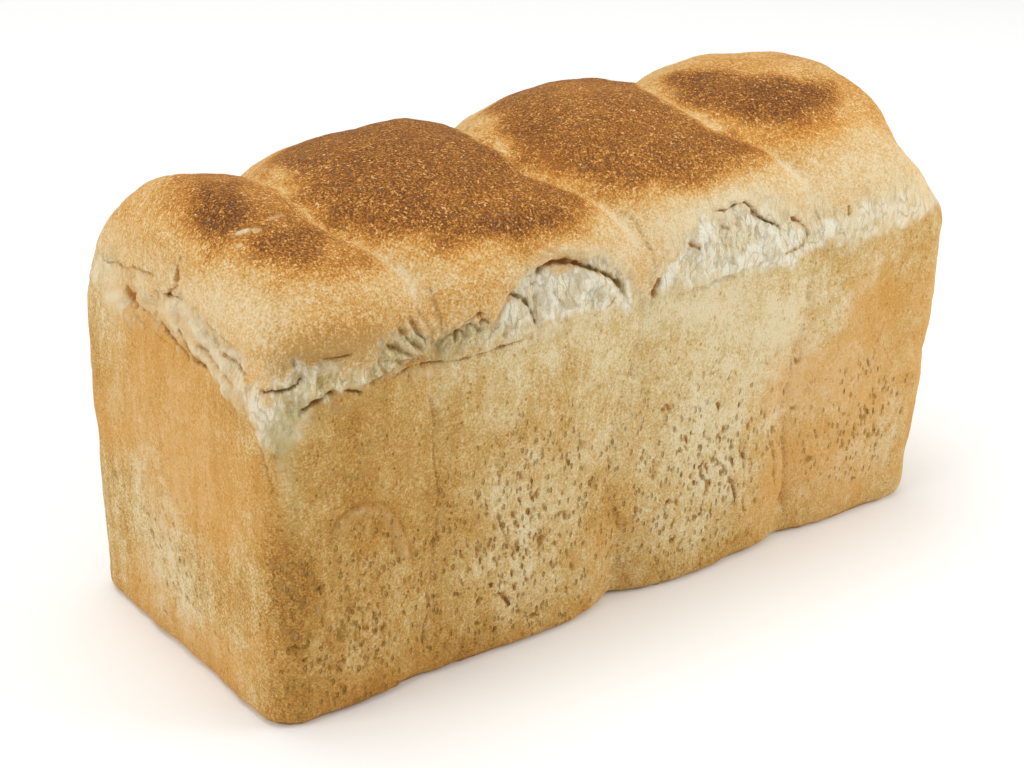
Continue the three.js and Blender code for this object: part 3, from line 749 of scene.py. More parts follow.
# Height of the bottom of the torn band, where the tin's rim was
def rimLine(points):
    fromCorner = np.linalg.norm(points[:, :2] - relief["cornerAt"], axis=1)
    rim = relief["rimHeight"] + layered(points, relief["rimWander"])
    return rim - relief["cornerSag"] * bell(fromCorner, relief["cornerSize"])


def tornShare(points):
    z = points[:, 2]
    fray = layered(points, relief["fray"])
    soft = relief["tornSoft"] + relief["tornSoftRight"] * smoothStep(points[:, 0] / relief["tornSoftOver"])
    under = smoothStep((highestLip(points) - relief["lipBare"] + fray - z) / soft + .5)
    return under * smoothStep((z - rimLine(points) - fray) / relief["rimSoft"] + .5)


# Torn dough in lumps and fibres, which lean on the end walls, and crust a little uneven. Where the torn
# dough's lumps sink, a painted shade is also marked.
def doughRelief(points, normals, torn, fields):
    slant = np.where(np.abs(normals[:, 0]) > relief["facing"], relief["fibreSlant"] * points[:, 1], 0)
    fibres = 1 - 2 * np.abs(unevenness(points + np.outer(slant, (0, 0, 1)), relief["fibreSize"], 21))
    lumps = layered(points, relief["tornLumps"]) + relief["fibre"] * fibres
    fields["calm"] = smoothStep((points[:, 0] - relief["calmFrom"]) / relief["calmOver"])
    fields["side"] = smoothStep((np.abs(normals[:, 0]) - relief["sideFrom"]) / relief["sideOver"])
    # painted shade: where the torn dough's lumps sink, its colour is to be darkened
    fields["cavityShade"] = np.clip(-relief["cavityShadeGain"] * lumps * torn, 0, 1)
    height = torn * lumps * (1 - relief["calming"] * fields["calm"])
    return height + (1 - torn) * layered(points, relief["crust"]) + layered(points, relief["blisters"])


# Creases on the crown, the faint line that each leaves down the wall, and the uneven foot
def creaseRelief(points, normals):
    z = points[:, 2]
    seam, notch, deep = nearestSeam(*points.T)
    wander = seam + layered(points, relief["seamWander"])
    crown = smoothStep((z - relief["creaseFrom"]) / relief["creaseOver"])
    creased = crown * relief["creaseGroove"] * bell(wander, relief["creaseWidth"])
    wall = smoothStep((z - relief["wallSeamFoot"]) / relief["wallSeamFootSoft"])
    wall = wall * smoothStep((relief["wallSeamHead"] - z) / relief["wallSeamHeadSoft"])
    wall = wall * (np.abs(normals[:, 1]) > relief["facing"])
    line = bell(wander, relief["wallSeamWidth"])
    line = line * (relief["wallSeamShare"] + layered(points, relief["wallSeamBreaks"]))
    foot = bell(z, relief["footReach"]) * (z > relief["footFrom"])
    foot = foot * relief["foot"] * (relief["footShare"] + layered(points, relief["footBreaks"]))
    return -creased - wall * relief["wallSeamGroove"] * line - foot


# How each stroke is cut. Widths and reaches are in half widths of the stroke, and spreads in millimetres.
cutting = {
    "leastReach": 6, "reach": 2.6, "waver": ((.3, 1.4, 29),), "rough": ((.35, 2.2, 28),), "endShare": .12,
    "endDepth": .25, "grooveRough": (.6, 1.5), "depthRough": (.5, 1.3),
    "lipOut": 1.9, "lipWidth": 1.5, "lipDrop": .9,
    "shade": .9, "shadeWidth": 2.4, "shadeSpread": .6,
    # a tint reaches past its groove, so that a dark one also paints the groove's shade
    "tintWidth": 1.35, "tintRough": (.4, 1.3),
    "lipStain": .6, "lipStainWidth": 2.2, "lipStainSpread": .8, "lipStainRough": (.3, 1.5),
}


# Adds the strokes to the height, and returns how far their lips sag. Their tints go into the fields, with the
# painted shade along their grooves; a dark tint is partly real browning and partly painted shade.
def strokeRelief(points, height, fields):
    drop = np.zeros(len(points))
    for tint in tints:
        fields[tint] = np.zeros(len(points))
    for (where, path, width, depth, lipHeight, tint, strength), curve in zip(strokes, strokeCurves):
        reach = max(cutting["leastReach"], cutting["reach"] * width)
        close, distance, along, above = nearCurve(points, curve, reach)
        if len(close) == 0:
            continue
        distance = np.abs(distance + layered(points[close], cutting["waver"]))
        rough = 1 + layered(points[close], cutting["rough"])
        ends = smoothStep(along / cutting["endShare"]) * smoothStep((1 - along) / cutting["endShare"])
        groove = bell(distance, width * np.clip(rough, *cutting["grooveRough"]))
        groove = groove * (cutting["endDepth"] + (1 - cutting["endDepth"]) * ends)
        lip = bell(distance - cutting["lipOut"] * width, cutting["lipWidth"] * width)
        lip = lip * (above > 0) * ends * lipHeight
        height[close] += lip - depth * groove * np.clip(rough, *cutting["depthRough"])
        drop[close] = np.maximum(drop[close], cutting["lipDrop"] * lip)

        def deepen(name, width, spread, strength):
            tinted = bell(distance, width + spread) * ends * strength
            fields[name][close] = np.maximum(fields[name][close], tinted)
        # painted shade: the dough along each groove is darkened, as if by the groove's shade
        if depth > 0:
            deepen("cavityShade", cutting["shadeWidth"] * width, cutting["shadeSpread"], strength * cutting["shade"])
        deepen(tint, cutting["tintWidth"] * width, 0, strength * np.clip(rough, *cutting["tintRough"]))
        if lipHeight > 0:
            browned = cutting["lipStain"] * strength * (above > 0) * np.clip(rough, *cutting["lipStainRough"])
            deepen("tan", cutting["lipStainWidth"] * width, cutting["lipStainSpread"], browned)
    for tint in tints:
        fields[tint] = np.clip(fields[tint], 0, 1)
    return drop


def reliefMoves(points, normals, torn, fields):
    height = doughRelief(points, normals, torn, fields) + creaseRelief(points, normals)
    dent, fields["pit"] = pitDents(points, normals)
    height -= dent
    drop = strokeRelief(points, height, fields)
    moved = points + normals * height[:, None]
    moved[:, 2] -= drop
    moved[points[:, 2] < relief["flatBelow"], 2] = 0
    moved[:, 2] = np.maximum(moved[:, 2], 0)
    return moved


# ---- colour: how brown the crown is and how deep the tone of the walls is, from 0 pale to 1 dark
# Browned patches of the crown: outline seen from above, softness, how much browner, and the same of its halo
crownPatches = (
    (((-112, 10), (-104, 22), (-92, 28), (-80, 24), (-85, 0), (-87, -15), (-87, -20), (-84, -25), (-82, -31),
      (-79, -37), (-80, -42), (-87, -43), (-96, -41), (-103, -38), (-107, -34), (-110, -29), (-111, -23),
      (-113, -17), (-114, -11), (-114, -3)), 9, .20, 16, .06),
    (((-108, 2), (-101, 6), (-94, 7), (-95, 1), (-99, -12), (-103, -17), (-108, -20), (-112, -17), (-114, -9),
      (-112, -3)), 7, .18, 7, 0),
    (((-108, -25), (-101, -25.5), (-90, -23), (-86, -26), (-88, -32), (-95, -37), (-100, -38), (-104, -36),
      (-108, -32), (-109, -28)), 5, .16, 7, 0),
    (((-78, 10), (-71, 27), (-60, 37), (-32, 41), (-13, 36), (-14, 22), (-18, 10), (-21, -4), (-20, -14),
      (-19, -23), (-15, -29), (-12, -34), (-13, -39), (-20, -43.5), (-29, -45.5), (-39, -45), (-50, -43),
      (-61, -40), (-70, -36), (-77, -32), (-82, -26), (-83.5, -22), (-83.5, -14), (-82, -6)),
     8, .32, 15, .12),
    (((-6, 16), (4, 32), (28, 39), (50, 32), (52, 20), (46, 8), (43, 1), (40, -9), (40, -14), (41, -20),
      (42, -26), (48, -29), (52, -34), (51, -38), (42, -42), (30, -44), (17, -44), (6, -41), (-2, -38),
      (-8, -33), (-12, -28), (-16, -23), (-17, -16), (-16, -7), (-11, 3)), 8, .32, 14, .10),
    (((50, 3), (56, 7), (63, 0), (75, -10), (88, -15), (99, -18), (96, -27), (85, -32), (71, -34.5),
      (56, -31), (49, -24), (46, -14), (47, -5)), 7, .30, 16, .10),
    (((56, -20), (67, -17), (78, -17), (90, -18), (94, -22), (85, -28), (74, -31), (66, -31), (58, -30),
      (54, -25)), 7, .08, 7, 0),
)

# Soft patches of colour: centre, half size, and how much darker or paler
glows = {
    "crown": (
        ((-30, -48, 117), (26, 6, 5), .10),
        ((-45, -42, 122), (26, 3, 4), .15),
        ((80, 0, 135), (28, 12, 9), .12),
        ((72, -36, 126), (28, 5, 6), .19),
        ((-11, -22, 129), (5, 22, 9), .07),
        ((52, -22, 129), (5, 20, 9), .08),
        ((108, -22, 125), (11, 18, 9), .10),
        ((-60, -49, 112), (20, 6, 7), .02),
        ((30, -46, 116), (30, 8, 8), -.10),
        ((-10, -46, 114), (12, 9, 10), -.07),
        ((-58, -50, 110), (16, 6, 6), .09),
        ((-55, -46, 118), (16, 6, 6), -.07),
        ((-55, -10, 132), (24, 20, 8), .02),
        ((-116, -24, 117), (7, 16, 8), -.07),
        ((-34, -36, 126), (16, 8, 8), -.06),
        ((32, -37, 127), (18, 8, 8), -.07),
        ((23, 6, 136), (24, 8, 6), -.07),
        ((11, -48, 116), (14, 6, 6), -.09),
        ((-109, -14, 129), (9, 12, 8), .12),
        ((90, -42, 118), (30, 10, 14), -.10),
        ((110, -10, 120), (12, 40, 20), .04),
        ((-98, -50, 108), (18, 8, 7), .25),
        ((-88, -47, 113), (12, 6, 5), .05),
        ((-112, -36, 118), (9, 12, 9), -.08),
        ((-112, 30, 124), (14, 24, 10), .06),
    ),
    "wall": (
        ((-40, -52, 88), (30, 6, 9), -.14),
        ((24, -52, 84), (40, 6, 18), -.23),
        ((40, -52, 60), (26, 6, 22), -.08),
        ((-112, -50, 78), (10, 8, 16), -.16),
        ((-38, -52, 34), (20, 6, 26), -.13),
        ((22, -52, 42), (24, 6, 26), -.28),
        ((-95, -52, 16), (14, 6, 16), -.20),
        # left part of the front wall darker: partly browner crust, partly painted shade of the dimmer light
        # there
        ((-104, -52, 50), (34, 8, 60), .32),
        # painted shade: darker down the front-left corner, where less light falls
        ((-114, -50, 36), (5, 7, 26), .31),
        ((-114, -51, 70), (4, 5, 13), -.16),
        ((-62, -52, 40), (10, 6, 50), .14),
        ((-8, -52, 24), (12, 6, 26), .07),
        ((58, -52, 44), (9, 6, 44), -.18),
        ((90, -52, 36), (26, 6, 40), -.21),
        ((96, -52, 16), (24, 6, 14), -.08),
        ((-92, -52, 78), (24, 6, 14), .08),
        ((-118, 16, 86), (6, 30, 20), -.08),
        ((-118, -28, 50), (6, 14, 40), .08),
        ((-118, -30, 96), (6, 14, 10), -.06),
        ((-40, -52, 52), (18, 6, 14), -.04),
        ((-118, 8, 30), (6, 26, 22), -.24),
        ((-60, -52, 2), (60, 8, 8), .31),
        ((60, -52, 2), (60, 8, 8), .14),
        ((-118, -10, 2), (6, 40, 8), .12),
    ),
    "torn": (
        ((-118, 14, 101), (9, 52, 17), -.62),
        ((-80, -50, 100), (14, 8, 12), -.15),
    ),
    "honey": (
        ((-119, 2, 60), (8, 62, 20), .2),
        ((-119, 8, 30), (8, 30, 18), -.3),
        ((58, -53, 44), (9, 9, 40), .4),
        ((-119, 2, 72), (8, 62, 38), .85),
        ((94, -53, 52), (42, 9, 44), 1),
        ((66, -53, 20), (26, 9, 24), .5),
        ((-60, -53, 0), (60, 9, 12), .6),
        ((-119, -5, 6), (8, 50, 16), .8),
        ((-118, 10, 101), (9, 50, 14), .4),
        ((-50, -46, 118), (26, 6, 5), .6),
        ((74, -37, 126), (30, 6, 7), .9),
        ((107, -22, 124), (11, 18, 11), .7),
        ((82, 4, 136), (26, 10, 8), .4),
        ((-13, -24, 128), (6, 22, 9), .7),
        ((52, -24, 128), (6, 20, 9), .7),
        ((-8, -53, 24), (12, 9, 26), .5),
        ((122, 0, 50), (10, 60, 60), .8),
        ((-70, 53, 50), (50, 9, 60), .6),
        ((70, 53, 40), (40, 9, 50), .7),
    ),
    "tan": (
        ((-101, -51, 107), (16, 7, 6), 1),
        ((-86, -52, 104), (10, 7, 4), .4),
        ((-112, -46, 107), (6, 9, 5), .3),
    ),
    "moss": (
        ((-115, -50, 86), (5, 6, 6), .55),
        ((-114, -51, 75), (3.5, 4, 9), .42),
        ((-112, -52, 63), (3, 4, 7), .25),
        ((-110, -51, 93), (7, 5, 6), .4),
        ((-92, -52, 91), (10, 5, 4), .3),
    ),
    # painted shade in hollows of the torn dough: how much darker each place is
    "hollow": (
        ((-110, -50, 94), (7, 8, 7), .5),
        ((-115, -50, 84), (5, 6, 5), .7),
        ((-104, -51, 99), (8, 6, 5), .3),
        ((-62, -50, 99), (14, 6, 6), .95),
        ((-77, -50, 102), (8, 6, 6), .45),
        ((-94, -51, 99), (9, 6, 5), .5),
        ((94, -50, 99), (26, 6, 6), .32),
        ((-84, -51, 98), (12, 6, 4), .35),
    ),
    "pitting": (
        ((-95, -52, 26), (28, 9, 34), 1),
        ((-36, -52, 32), (34, 9, 44), 1),
        ((24, -52, 34), (36, 9, 38), .85),
        ((90, -52, 34), (24, 9, 28), .8),
        ((-60, 52, 34), (60, 9, 30), 1),
        ((60, 52, 34), (50, 9, 30), 1),
        ((-119, 0, 30), (9, 40, 34), .5),
        ((121, 0, 34), (9, 40, 34), .8),
    ),
}


def glowing(points, name):
    total = np.zeros(len(points))
    for centre, half, amount in glows[name]:
        total += amount * bell(np.linalg.norm((points - centre) / half, axis=1), 1)
    return total


# Distance from each spot to an outline seen from above, positive inside it
def insideOutline(x, y, outline):
    spots = np.column_stack([x, y])
    corners = np.array(outline, float)
    nearest = np.full(len(x), np.inf)
    inside = np.zeros(len(x), bool)
    for start, end in zip(corners, np.roll(corners, -1, axis=0)):
        side = end - start
        share = np.clip((spots - start) @ side / (side @ side), 0, 1)
        nearest = np.minimum(nearest, np.linalg.norm(spots - start - share[:, None] * side, axis=1))
        crosses = (start[1] > y) != (end[1] > y)
        inside ^= crosses & (x < start[0] + (y - start[1]) * side[0] / (side[1] if side[1] else 1))
    return np.where(inside, nearest, -nearest)


# What sets the tones: how brown the crown and its lips are, how deep the walls are, and where the walls end
tones = {
    "edge": ((1.3, 7, 31), (.8, 3, 32)), "crown": .24, "crownRise": .10, "riseFrom": 112, "riseOver": 10,
    "patchFrom": 110, "patchOver": 6,
    "seamPale": .16, "seamEdge": .6, "seamWidth": 1.4, "seamFrom": 105, "seamOver": 10,
    "lipPale": .03, "lipPaleRight": .09, "lipRightFrom": -50, "lipRightOver": 60, "lipWidth": 3.5,
    "crownMottle": ((.03, 14, 33),), "wall": .38, "wallMottle": ((.10, 22, 34), (.07, 7, 35)),
    "endWall": .04, "endFacing": .7, "honeyMottle": ((.25, 16, 36),), "sunkShade": .55,
    "wrinkled": .5, "wrinkleAbove": 1, "wrinkleReach": 5, "wallAbove": 2, "wallSoft": 4,
}


def crownBrowning(points, lipGap):
    x, y, z = points.T
    edge = layered(points, tones["edge"])
    browning = tones["crown"] + tones["crownRise"] * smoothStep((z - tones["riseFrom"]) / tones["riseOver"])
    crown = smoothStep((z - tones["patchFrom"]) / tones["patchOver"])
    for outline, soft, amount, haloSoft, haloAmount in crownPatches:
        depth = insideOutline(x, y, outline) + edge
        browning += crown * amount * smoothStep(depth / soft + .5)
        browning += crown * haloAmount * smoothStep(depth / haloSoft + .5)
    seam, notch, deep = nearestSeam(x, y, z)
    pale = tones["seamPale"] * smoothStep((z - tones["seamFrom"]) / tones["seamOver"])
    browning -= pale * bell(seam + tones["seamEdge"] * edge, tones["seamWidth"])
    toRight = smoothStep((x - tones["lipRightFrom"]) / tones["lipRightOver"])
    browning -= (tones["lipPale"] + tones["lipPaleRight"] * toRight) * bell(lipGap, tones["lipWidth"])
    return browning + glowing(points, "crown") + layered(points, tones["crownMottle"])


def colourFields(points, normals, torn, fields):
    lipGap = points[:, 2] - highestLip(points)
    ends = np.abs(normals[:, 0]) > tones["endFacing"]
    wallTone = tones["wall"] + glowing(points, "wall") + layered(points, tones["wallMottle"])
    fields["browning"] = crownBrowning(points, lipGap)
    fields["wallTone"] = wallTone + tones["endWall"] * ends
    fields["torn"] = np.clip(torn * (1 + glowing(points, "torn")), 0, 1)
    aroundLip = bell(lipGap - tones["wrinkleAbove"], tones["wrinkleReach"])
    fields["wrinkled"] = fields["torn"] + tones["wrinkled"] * aroundLip
    fields["honey"] = glowing(points, "honey") + layered(points, tones["honeyMottle"])
    # painted shade: the torn dough is darkened in its hollows and along the grooves
    fields["hollow"] = glowing(points, "hollow") + tones["sunkShade"] * fields.pop("cavityShade")
    fields["tan"] += glowing(points, "tan")
    for name in ("moss", "pitting"):
        fields[name] = glowing(points, name)
    underRim = rimLine(points) + tones["wallAbove"] - points[:, 2]
    fields["onWall"] = smoothStep(underRim / tones["wallSoft"] + .5)
    for name in fields:
        fields[name] = np.clip(fields[name], 0, 1)


# ---- shader maths written as sums
class Wire:
    def __init__(self, tree, socket):
        self.tree = tree
        self.socket = socket

    def maths(self, operation, first, second):
        return addNode(self.tree, "ShaderNodeMath", {"operation": operation}, {0: first, 1: second})

    def __add__(self, other):
        return self.maths("ADD", self, other)

    def __sub__(self, other):
        return self.maths("SUBTRACT", self, other)

    def __rsub__(self, other):
        return self.maths("SUBTRACT", other, self)

    def __abs__(self):
        return self.maths("ABSOLUTE", self, 0)

    def __mul__(self, other):
        return self.maths("MULTIPLY", self, other)

    __radd__ = __add__
    __rmul__ = __mul__


def addNode(tree, kind, settings=None, inputs=None, output=0):
    node = tree.nodes.new(kind)
    for name, value in (settings or {}).items():
        if name == "stops":
            ramp = node.color_ramp.elements
            while len(ramp) < len(value):
                ramp.new(.5)
            for stop, (place, colour) in zip(ramp, value):
                stop.position = place
                stop.color = (*colour, 1)
        else:
            setattr(node, name, value)
    for name, value in (inputs or {}).items():
        if isinstance(value, Wire):
            tree.links.new(value.socket, node.inputs[name])
        else:
            node.inputs[name].default_value = value
    return Wire(tree, node.outputs[output])


# A colour picked on a screen, from 0 to 255, as the shader's linear light
def paint(red, green, blue):
    return tuple(((c / 255 + .055) / 1.055) ** 2.4 for c in (red, green, blue))


# Colours are given as they look on a screen, from 0 to 255. The ramps run from pale to dark, and that of the
# torn dough from hollow to ridge, its darker hollow end carrying the painted shade of the dough's hollows.
crust = {
    "ramps": {
        "crown": (
            (.08, (240, 220, 178)), (.24, (232, 196, 138)), (.38, (222, 170, 92)), (.52, (202, 136, 58)),
            (.72, (158, 100, 42)), (.95, (100, 58, 28)),
        ),
        "gold": (
            (.08, (246, 218, 166)), (.24, (236, 190, 118)), (.38, (227, 167, 82)), (.55, (206, 136, 54)),
            (.76, (160, 98, 40)),
        ),
        "wall": (
            (.0, (236, 219, 178)), (.26, (223, 194, 136)), (.50, (208, 164, 92)), (.76, (186, 134, 58)),
            (.98, (142, 94, 38)),
        ),
        "torn": (
            (.06, (186, 160, 96)), (.32, (224, 205, 152)), (.56, (243, 230, 194)), (.88, (252, 246, 224)),
        ),
    },
    "paints": {
        "pit": (173, 122, 46), "greyPit": (175, 135, 62), "crack": (146, 116, 52), "moss": (194, 180, 124),
        "olive": (200, 178, 112), "honey": (226, 162, 77), "mark": (194, 142, 70), "wrinkle": (186, 154, 90),
        "straw": (224, 192, 130), "peach": (238, 202, 146), "dark": (156, 98, 40), "amber": (190, 134, 62),
        "pale": (240, 222, 184), "tan": (188, 150, 90),
    },
    # size in millimetres, detail, roughness, how much taller than wide, and swirl
    "noises": {
        "grain": (.62, 3, .7, 1, 0), "fleck": (1.4, 2, .6, 1.5, 0), "blotch": (6, 3, .6, 1, 0),
        "fibre": (1.1, 3, .65, 3, 0), "streak": (4, 3, .6, 5, 0), "wrinkle": (3.6, 1, .5, 1.9, .4),
        "specks": (1, 1, .5, 1, 1.4), "darkDots": (1.1, 1, .5, 1, 1), "olive": (3, 3, .6, 1, 0),
        "mark": (2.1, 2, .6, 1.6, 1.2), "straw": (3.2, 3, .6, 1.8, 0), "greyPit": (9, 1, .5, 1, 0),
    },
    # distance apart in millimetres, where a dot's edge starts and ends, and how much taller than wide
    "dots": {"freckle": (2.2, .10, .24, 1.3), "smallPit": (1.9, .13, .30, 2.1)},
    # how much of each finer pattern goes into a tone or a height
    "mixes": {
        "crown": {"grain": .6, "fleck": .2, "blotch": .24, "darkDots": .08},
        "brown": {"grain": 1.3, "fleck": .5},
        "crownSpecks": {"specks": -.03}, "brownSpecks": {"specks": -.44}, "goldSpecks": {"specks": -.4},
        "wall": {"grain": 1.45, "fleck": .55, "blotch": .5, "streak": .5, "specks": -.08, "freckle": .34},
        "end": {"grain": .6, "streak": .3}, "dough": {"grain": 1.1, "blotch": .5}, "wrinkle": {"grain": .08},
        "height": {"grain": .8, "fleck": .35}, "rough": {"grain": .25},
    },
    # where a second colour starts to show and where it is full, its greatest share, and what breaks it up
    "covers": {
        "specks": (.56, .70, 1, {}), "darkDots": (.64, .74, 1, {}), "freckle": (-.2, .08, 1, {}),
        "gold": (.2, 1, .8, {"grain": .3}), "olive": (.50, .66, .24, {}), "mark": (.62, .74, .4, {}),
        "honey": (.1, 1, .57, {"blotch": .9, "grain": .3}), "straw": (.48, .68, .5, {}),
        "peach": (.1, 1, .7, {"blotch": 1, "grain": .6}),
        "torn": (.12, .88, 1, {"fleck": .9, "grain": .7, "blotch": .5}),
        "smallPit": (.15, .75, 1, {"blotch": .8}), "pit": (.04, .95, 1, {"grain": .3}),
        "greyPit": (.5, .65, 1, {}), "tan": (.1, 1.3, .85, {"grain": 1.6, "fleck": 1.2}),
        "moss": (.15, .9, .7, {"fleck": .8, "blotch": .7, "grain": .9}), "tint": (.1, 1, 1, {"grain": .8}),
    },
    "wrinkleLine": .06, "wrinkleShare": .36, "calming": .55, "doughFibre": 1.2, "doughTone": .89,
    "hollow": .6, "pitShare": .85, "smallPitShare": .55,
    "fibreHeight": 1.4, "wrinkleDepth": .2, "smallPitDepth": 1.1,
    "freckleDepth": .25, "bump": .9, "roughness": .8, "specular": .16,
}


def makeCrust():
    material = bpy.data.materials.new("crust")
    material.use_nodes = True
    tree = material.node_tree
    tree.nodes.clear()
    place = addNode(tree, "ShaderNodeTexCoord", output=3)

    def field(name):
        return addNode(tree, "ShaderNodeAttribute", {"attribute_name": name}, output=2)

    def stretched(tall):
        return addNode(tree, "ShaderNodeMapping", inputs={"Vector": place, "Scale": (1, 1, 1 / tall)})

    def noise(name):
        size, detail, rough, tall, swirl = crust["noises"][name]
        inputs = {
            "Vector": stretched(tall), "Scale": 1 / (size * millimetre), "Detail": detail,
            "Roughness": rough, "Distortion": swirl,
        }
        return addNode(tree, "ShaderNodeTexNoise", inputs=inputs)

    def dots(name):
        size, low, high, tall = crust["dots"][name]
        inputs = {"Vector": stretched(tall), "Scale": 1 / (size * millimetre)}
        return 1 - soften(addNode(tree, "ShaderNodeTexVoronoi", inputs=inputs), low, high)

    def ramp(name, value):
        stops = [(place, paint(*colour)) for place, colour in crust["ramps"][name]]
        return addNode(tree, "ShaderNodeValToRGB", {"stops": stops}, {0: value})

    def soften(value, low, high):
        inputs = {"Value": value, "From Min": low, "From Max": high}
        return addNode(tree, "ShaderNodeMapRange", {"interpolation_type": "SMOOTHSTEP"}, inputs)

    # a colour is a link or the name of a paint
    def blend(share, first, second):
        def colour(value):
            return value if isinstance(value, Wire) else (*paint(*crust["paints"][value]), 1)
        inputs = {0: share, 6: colour(first), 7: colour(second)}
        return addNode(tree, "ShaderNodeMix", {"data_type": "RGBA"}, inputs, output=2)

    # adds each named pattern's share to where it starts
    def mixed(shares, start=0):
        for name, share in shares.items():
            start = patterns[name] * share + start
        return start

    def mix(name, start=0):
        return mixed(crust["mixes"][name], start)

    def cover(name, value):
        low, high, most, breaks = crust["covers"][name]
        return soften(mixed(breaks, value), low, high) * most

    patterns = {name: noise(name) - .5 for name in ("grain", "fleck", "blotch", "fibre", "streak")}
    for name in ("specks", "darkDots"):
        patterns[name] = cover(name, noise(name))
    freckle = dots("freckle") * cover("freckle", patterns["blotch"])
    patterns["freckle"] = freckle
    browning, onWall, torn, honey = field("browning"), field("onWall"), field("torn"), field("honey")

    # the browner the crown, the more its pale specks show
    crownTone = mix("crown", browning) + browning * mix("brown")
    gold = ramp("gold", crownTone + browning * mix("goldSpecks"))
    crown = ramp("crown", mix("crownSpecks", crownTone) + browning * mix("brownSpecks"))
    crown = blend(cover("gold", honey), crown, gold)
    wall = ramp("wall", mix("wall", field("wallTone")) + field("side") * mix("end"))
    wall = blend(cover("olive", noise("olive")), wall, "olive")
    wall = blend(cover("honey", honey), wall, "honey")
    wall = blend(cover("mark", noise("mark")), wall, "mark")

    # torn dough, with straw-coloured streaks and thin wandering wrinkles
    wandering = mix("wrinkle", abs(noise("wrinkle") - .5))
    wrinkle = (1 - soften(wandering, 0, crust["wrinkleLine"])) * field("wrinkled")
    fibre = patterns["fibre"] * (1 - field("calm") * crust["calming"])
    doughTone = mix("dough", fibre * crust["doughFibre"]) + crust["doughTone"]
    # painted shade darkens the torn dough in its hollows and grooves
    doughTone = doughTone - field("hollow") * crust["hollow"]
    dough = blend(cover("straw", noise("straw")), ramp("torn", doughTone), "straw")
    dough = blend(cover("peach", honey), dough, "peach")
    skin = blend(cover("torn", torn), blend(onWall, crown, wall), dough)
    # painted shade: each wrinkle's thin line is darkened as the shade in its groove
    skin = blend(wrinkle * crust["wrinkleShare"], skin, "wrinkle")

    # small pits between the modelled ones, then the tints of the strokes, the dark ones partly painted shade
    # in their grooves
    smallPit = dots("smallPit") * cover("smallPit", field("pitting")) * onWall
    allPits = field("pit") * crust["pitShare"] + smallPit * crust["smallPitShare"]
    skin = blend(cover("pit", allPits), skin, blend(cover("greyPit", noise("greyPit")), "pit", "greyPit"))
    for tint in ("tan", "moss"):
        skin = blend(cover(tint, field(tint)), skin, tint)
    for tint in ("pale", "amber", "dark"):
        # painted shade: on torn dough a dark tint takes the olive colour of the shade in its groove
        colour = blend(torn, "dark", "crack") if tint == "dark" else tint
        skin = blend(cover("tint", field(tint)), skin, colour)

    height = mix("height", torn * fibre * crust["fibreHeight"]) - wrinkle * crust["wrinkleDepth"]
    height = height - smallPit * crust["smallPitDepth"] - freckle * onWall * crust["freckleDepth"]
    inputs = {"Height": height, "Distance": crust["bump"] * millimetre, "Strength": 1}
    bump = addNode(tree, "ShaderNodeBump", inputs=inputs)
    shader = tree.nodes.new("ShaderNodeBsdfPrincipled")
    tree.links.new(skin.socket, shader.inputs["Base Color"])
    tree.links.new(mix("rough", crust["roughness"]).socket, shader.inputs["Roughness"])
    tree.links.new(bump.socket, shader.inputs["Normal"])
    shader.inputs["Specular IOR Level"].default_value = crust["specular"]
    out = tree.nodes.new("ShaderNodeOutputMaterial")
    tree.links.new(shader.outputs[0], out.inputs[0])
    return material


# ---- make the loaf
def vertexRows(mesh, name):
    rows = np.zeros(len(mesh.vertices) * 3)
    mesh.vertices.foreach_get(name, rows)
    return rows.reshape(-1, 3)


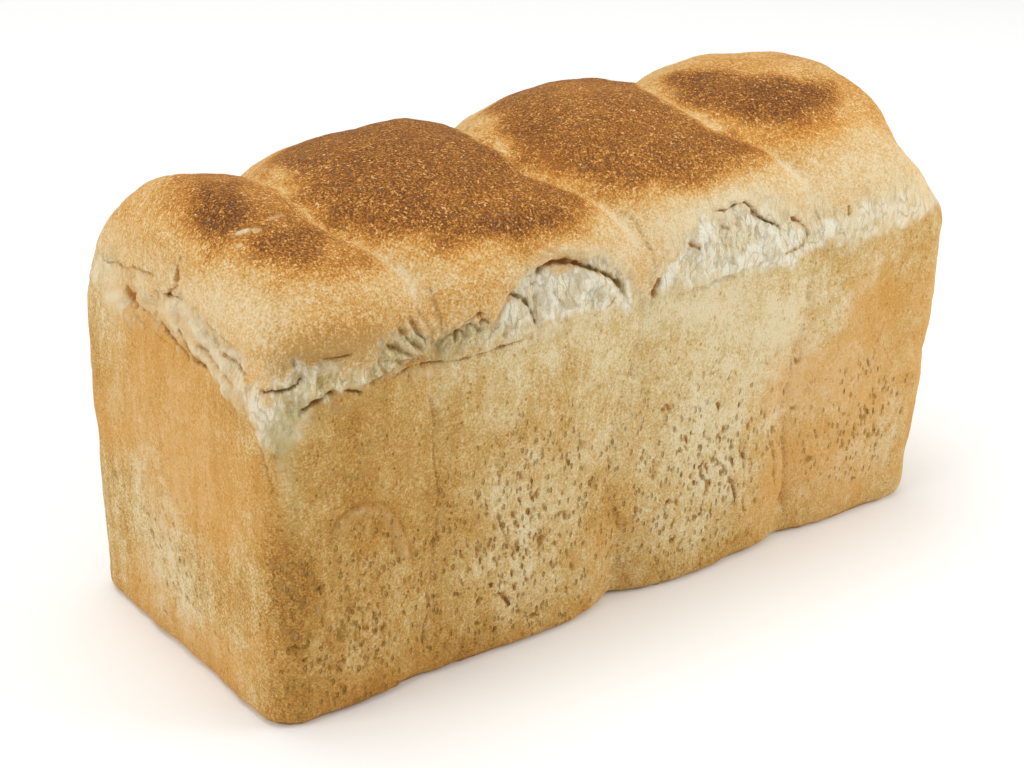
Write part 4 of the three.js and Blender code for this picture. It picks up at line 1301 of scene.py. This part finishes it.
def makeLoaf():
    bm = makeBlock()
    moveVertices(bm.verts, castOnto(vertexSpots(bm.verts)))
    print("block cast:", len(bm.faces), "faces")
    for cells, picked in (("fine", wantsFine), ("finest", wantsFinest), ("sharpest", wantsSharpest)):
        refine(bm, picked)
        print(cells, "cells:", len(bm.faces), "faces")
    bmesh.ops.recalc_face_normals(bm, faces=bm.faces)
    mesh = bpy.data.meshes.new("tinLoaf")
    bm.to_mesh(mesh)
    bm.free()

    points, normals = vertexRows(mesh, "co"), vertexRows(mesh, "normal")
    fields = {}
    torn = tornShare(points)
    moved = reliefMoves(points, normals, torn, fields)
    colourFields(points, normals, torn, fields)
    for name, values in fields.items():
        mesh.attributes.new(name, "FLOAT", "POINT").data.foreach_set("value", values.astype(np.float32))

    moved[:, 0] += (loafLow.x + loafHigh.x) / 2 / millimetre - form["boundsMiddle"]
    mesh.vertices.foreach_set("co", (moved * millimetre).ravel())
    mesh.polygons.foreach_set("use_smooth", np.ones(len(mesh.polygons), bool))
    mesh.update()
    loaf = bpy.data.objects.new("tinLoaf", mesh)
    bpy.context.scene.collection.objects.link(loaf)
    mesh.materials.append(makeCrust())
    return loaf


loaf = makeLoaf()
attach(loaf, "root")
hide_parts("loaf")
print("loaf made:", len(loaf.data.vertices), "vertices")

# ---- floor and light
studio = {
    "floorSize": 8, "floor": (252, 252, 251), "floorRoughness": .9, "sky": (1, 1, 1), "skyStrength": .53,
    "aim": (0, 0, .06),
}
lamps = (
    {"name": "above", "place": (-.1, .25, 1.5), "size": 1.3, "power": 11.5},
    {"name": "right", "place": (.62, -.52, .42), "size": .5, "power": 2.8},
    {"name": "left", "place": (-1.2, .1, .7), "size": .8, "power": 5},
)


def makeFloor():
    bm = bmesh.new()
    bmesh.ops.create_grid(bm, x_segments=1, y_segments=1, size=studio["floorSize"] / 2)
    mesh = bpy.data.meshes.new("studioFloor")
    bm.to_mesh(mesh)
    bm.free()
    floor = bpy.data.objects.new("studioFloor", mesh)
    bpy.context.scene.collection.objects.link(floor)
    material = bpy.data.materials.new("studioFloor")
    material.use_nodes = True
    shader = material.node_tree.nodes["Principled BSDF"]
    shader.inputs["Base Color"].default_value = (*paint(*studio["floor"]), 1)
    shader.inputs["Roughness"].default_value = studio["floorRoughness"]
    mesh.materials.append(material)
    return floor


def makeLight():
    world = bpy.data.worlds.new("studio")
    world.use_nodes = True
    sky = world.node_tree.nodes["Background"]
    sky.inputs["Color"].default_value = (*studio["sky"], 1)
    sky.inputs["Strength"].default_value = studio["skyStrength"]
    bpy.context.scene.world = world
    for lamp in lamps:
        light = bpy.data.lights.new(lamp["name"], "AREA")
        light.shape = "DISK"
        light.size = lamp["size"]
        light.energy = lamp["power"]
        holder = bpy.data.objects.new(lamp["name"], light)
        bpy.context.scene.collection.objects.link(holder)
        holder.location = lamp["place"]
        aim = Vector(lamp["place"]) - Vector(studio["aim"])
        holder.rotation_euler = aim.to_track_quat("Z", "Y").to_euler()


makeFloor()
makeLight()
bpy.context.scene.view_settings.view_transform = "Standard"
print("floor and light made")
